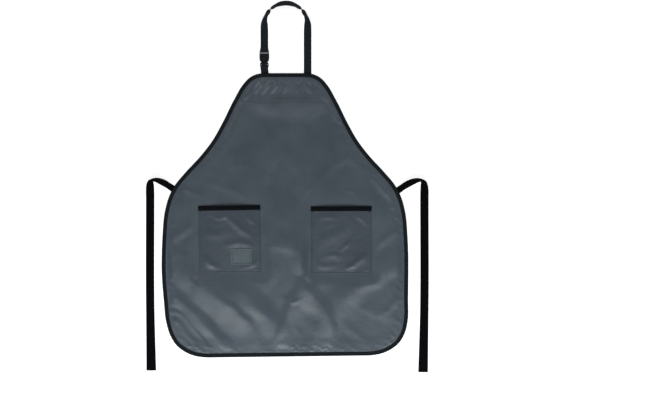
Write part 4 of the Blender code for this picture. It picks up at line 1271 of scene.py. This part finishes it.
class APRON_OT_buckle(ApronOperator, bpy.types.Operator):
    """Give both halves of the buckle their moulded plastic"""

    bl_idname = "apron.buckle"
    bl_label = "Buckle"

    def execute(self, context):
        lay, colours = dress(context)
        cover = material("moulded_acetal_buckle", moulded_acetal, colours.plastic)
        for name in ("buckle_socket", "buckle_plug"):
            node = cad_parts[name]
            node.data.materials.clear()
            node.data.materials.append(cover)
        for block in BLOCKS:
            y = lay.height + STUB_RUN + (block.start + block.end) / 2
            middle = Vector((LOOP_X - LOOP_RADIUS, y, block.middle)) + Vector(SHIFT)
            size = [side * MM for side in (2 * block.half, block.end - block.start, block.high)]
            shape = bmesh.new()
            place = Matrix.Translation(middle * MM) @ Matrix.Diagonal((*size, 1.0))
            bmesh.ops.create_cube(shape, size=1.0, matrix=place)
            bmesh.ops.bevel(
                shape, geom=shape.edges[:], offset=BLOCK_BEVEL * MM, segments=3, profile=0.5, affect="EDGES",
                material=-1,
            )
            piece = add_piece(block.name, shape, cover)
            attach(piece, "root")
        return {"FINISHED"}


class APRON_OT_stage(ApronOperator, bpy.types.Operator):
    """Put the apron on a pale light table under soft studio light, seen from straight above"""

    bl_idname = "apron.stage"
    bl_label = "Stage"

    def execute(self, context):
        scene = context.scene
        table = bmesh.new()
        bmesh.ops.create_grid(table, x_segments=1, y_segments=1, size=TABLE_SIZE)
        bmesh.ops.translate(table, verts=table.verts, vec=Vector((0.0, 0.0, -TABLE_UNDER)))
        cover = material("opal_acrylic_table", opal_acrylic, scene.apron_colours.floor)
        floor = add_piece("table_floor", table, cover)
        floor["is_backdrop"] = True
        scene.world = bpy.data.worlds.new("studio")
        scene.world.use_nodes = True
        background = scene.world.node_tree.nodes["Background"]
        background.inputs["Color"].default_value = (1.0, 1.0, 1.0, 1.0)
        background.inputs["Strength"].default_value = ROOM_LIGHT
        scene.view_settings.view_transform = "Standard"
        scene.view_settings.look = "None"
        for light in LIGHTS:
            lamp = bpy.data.lights.new(light.name, "AREA")
            lamp.shape = "RECTANGLE"
            lamp.size, lamp.size_y = light.size
            lamp.energy = light.power
            lamp.color = light.colour
            stand = bpy.data.objects.new(light.name, lamp)
            stand.location = light.place
            stand.rotation_euler = (Vector(light.target) - stand.location).to_track_quat("-Z", "Y").to_euler()
            scene.collection.objects.link(stand)
        view = bpy.data.cameras.new("camera")
        view.lens = CAMERA_LENS
        view.sensor_width = CAMERA_SENSOR
        scene.camera = bpy.data.objects.new("camera", view)
        scene.camera.location = CAMERA_PLACE
        scene.collection.objects.link(scene.camera)
        return {"FINISHED"}


def declare_sheets(lay):
    """Works out the outer edge and each point's next one, and goes through the pockets, but does nothing with
    them.
    """
    edge = lay.loop()[0]
    around = np.roll(edge, -1, axis=0)
    for pocket in lay.pockets:
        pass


class APRON_PT_sidebar(bpy.types.Panel):
    """The apron's pieces, sizes and colours"""

    bl_idname = "APRON_PT_sidebar"
    bl_label = "Art apron"
    bl_space_type = "VIEW_3D"
    bl_region_type = "UI"
    bl_category = "Apron"

    def draw(self, context):
        for operator in OPERATORS:
            self.layout.operator(operator.bl_idname)
        for group in (context.scene.apron_sizes, context.scene.apron_colours):
            for name in group.__annotations__:
                self.layout.prop(group, name)


OPERATORS = (
    APRON_OT_stage,
    APRON_OT_panel,
    APRON_OT_edge_tape,
    APRON_OT_pockets,
    APRON_OT_label,
    APRON_OT_neck_strap,
    APRON_OT_ties,
    APRON_OT_buckle,
)
CLASSES = (ApronSizes, ApronColours, *OPERATORS, APRON_PT_sidebar)


def register():
    for item in CLASSES:
        bpy.utils.register_class(item)
    bpy.types.Scene.apron_sizes = PointerProperty(type=ApronSizes)
    bpy.types.Scene.apron_colours = PointerProperty(type=ApronColours)


def unregister():
    del bpy.types.Scene.apron_colours
    del bpy.types.Scene.apron_sizes
    for item in reversed(CLASSES):
        bpy.utils.unregister_class(item)


def main():
    register()
    bpy.ops.apron.stage()
    bpy.ops.apron.panel()
    bpy.ops.apron.edge_tape()
    bpy.ops.apron.pockets()
    bpy.ops.apron.label()
    bpy.ops.apron.neck_strap()
    bpy.ops.apron.ties()
    bpy.ops.apron.buckle()
    declare_sheets(Lay(bpy.context.scene.apron_sizes))
    boxes = {"cad": CAD_BOX, "visual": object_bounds()}
    {name: [list(corner) for corner in box] for name, box in boxes.items()}


if __name__ == "__main__":
    main()
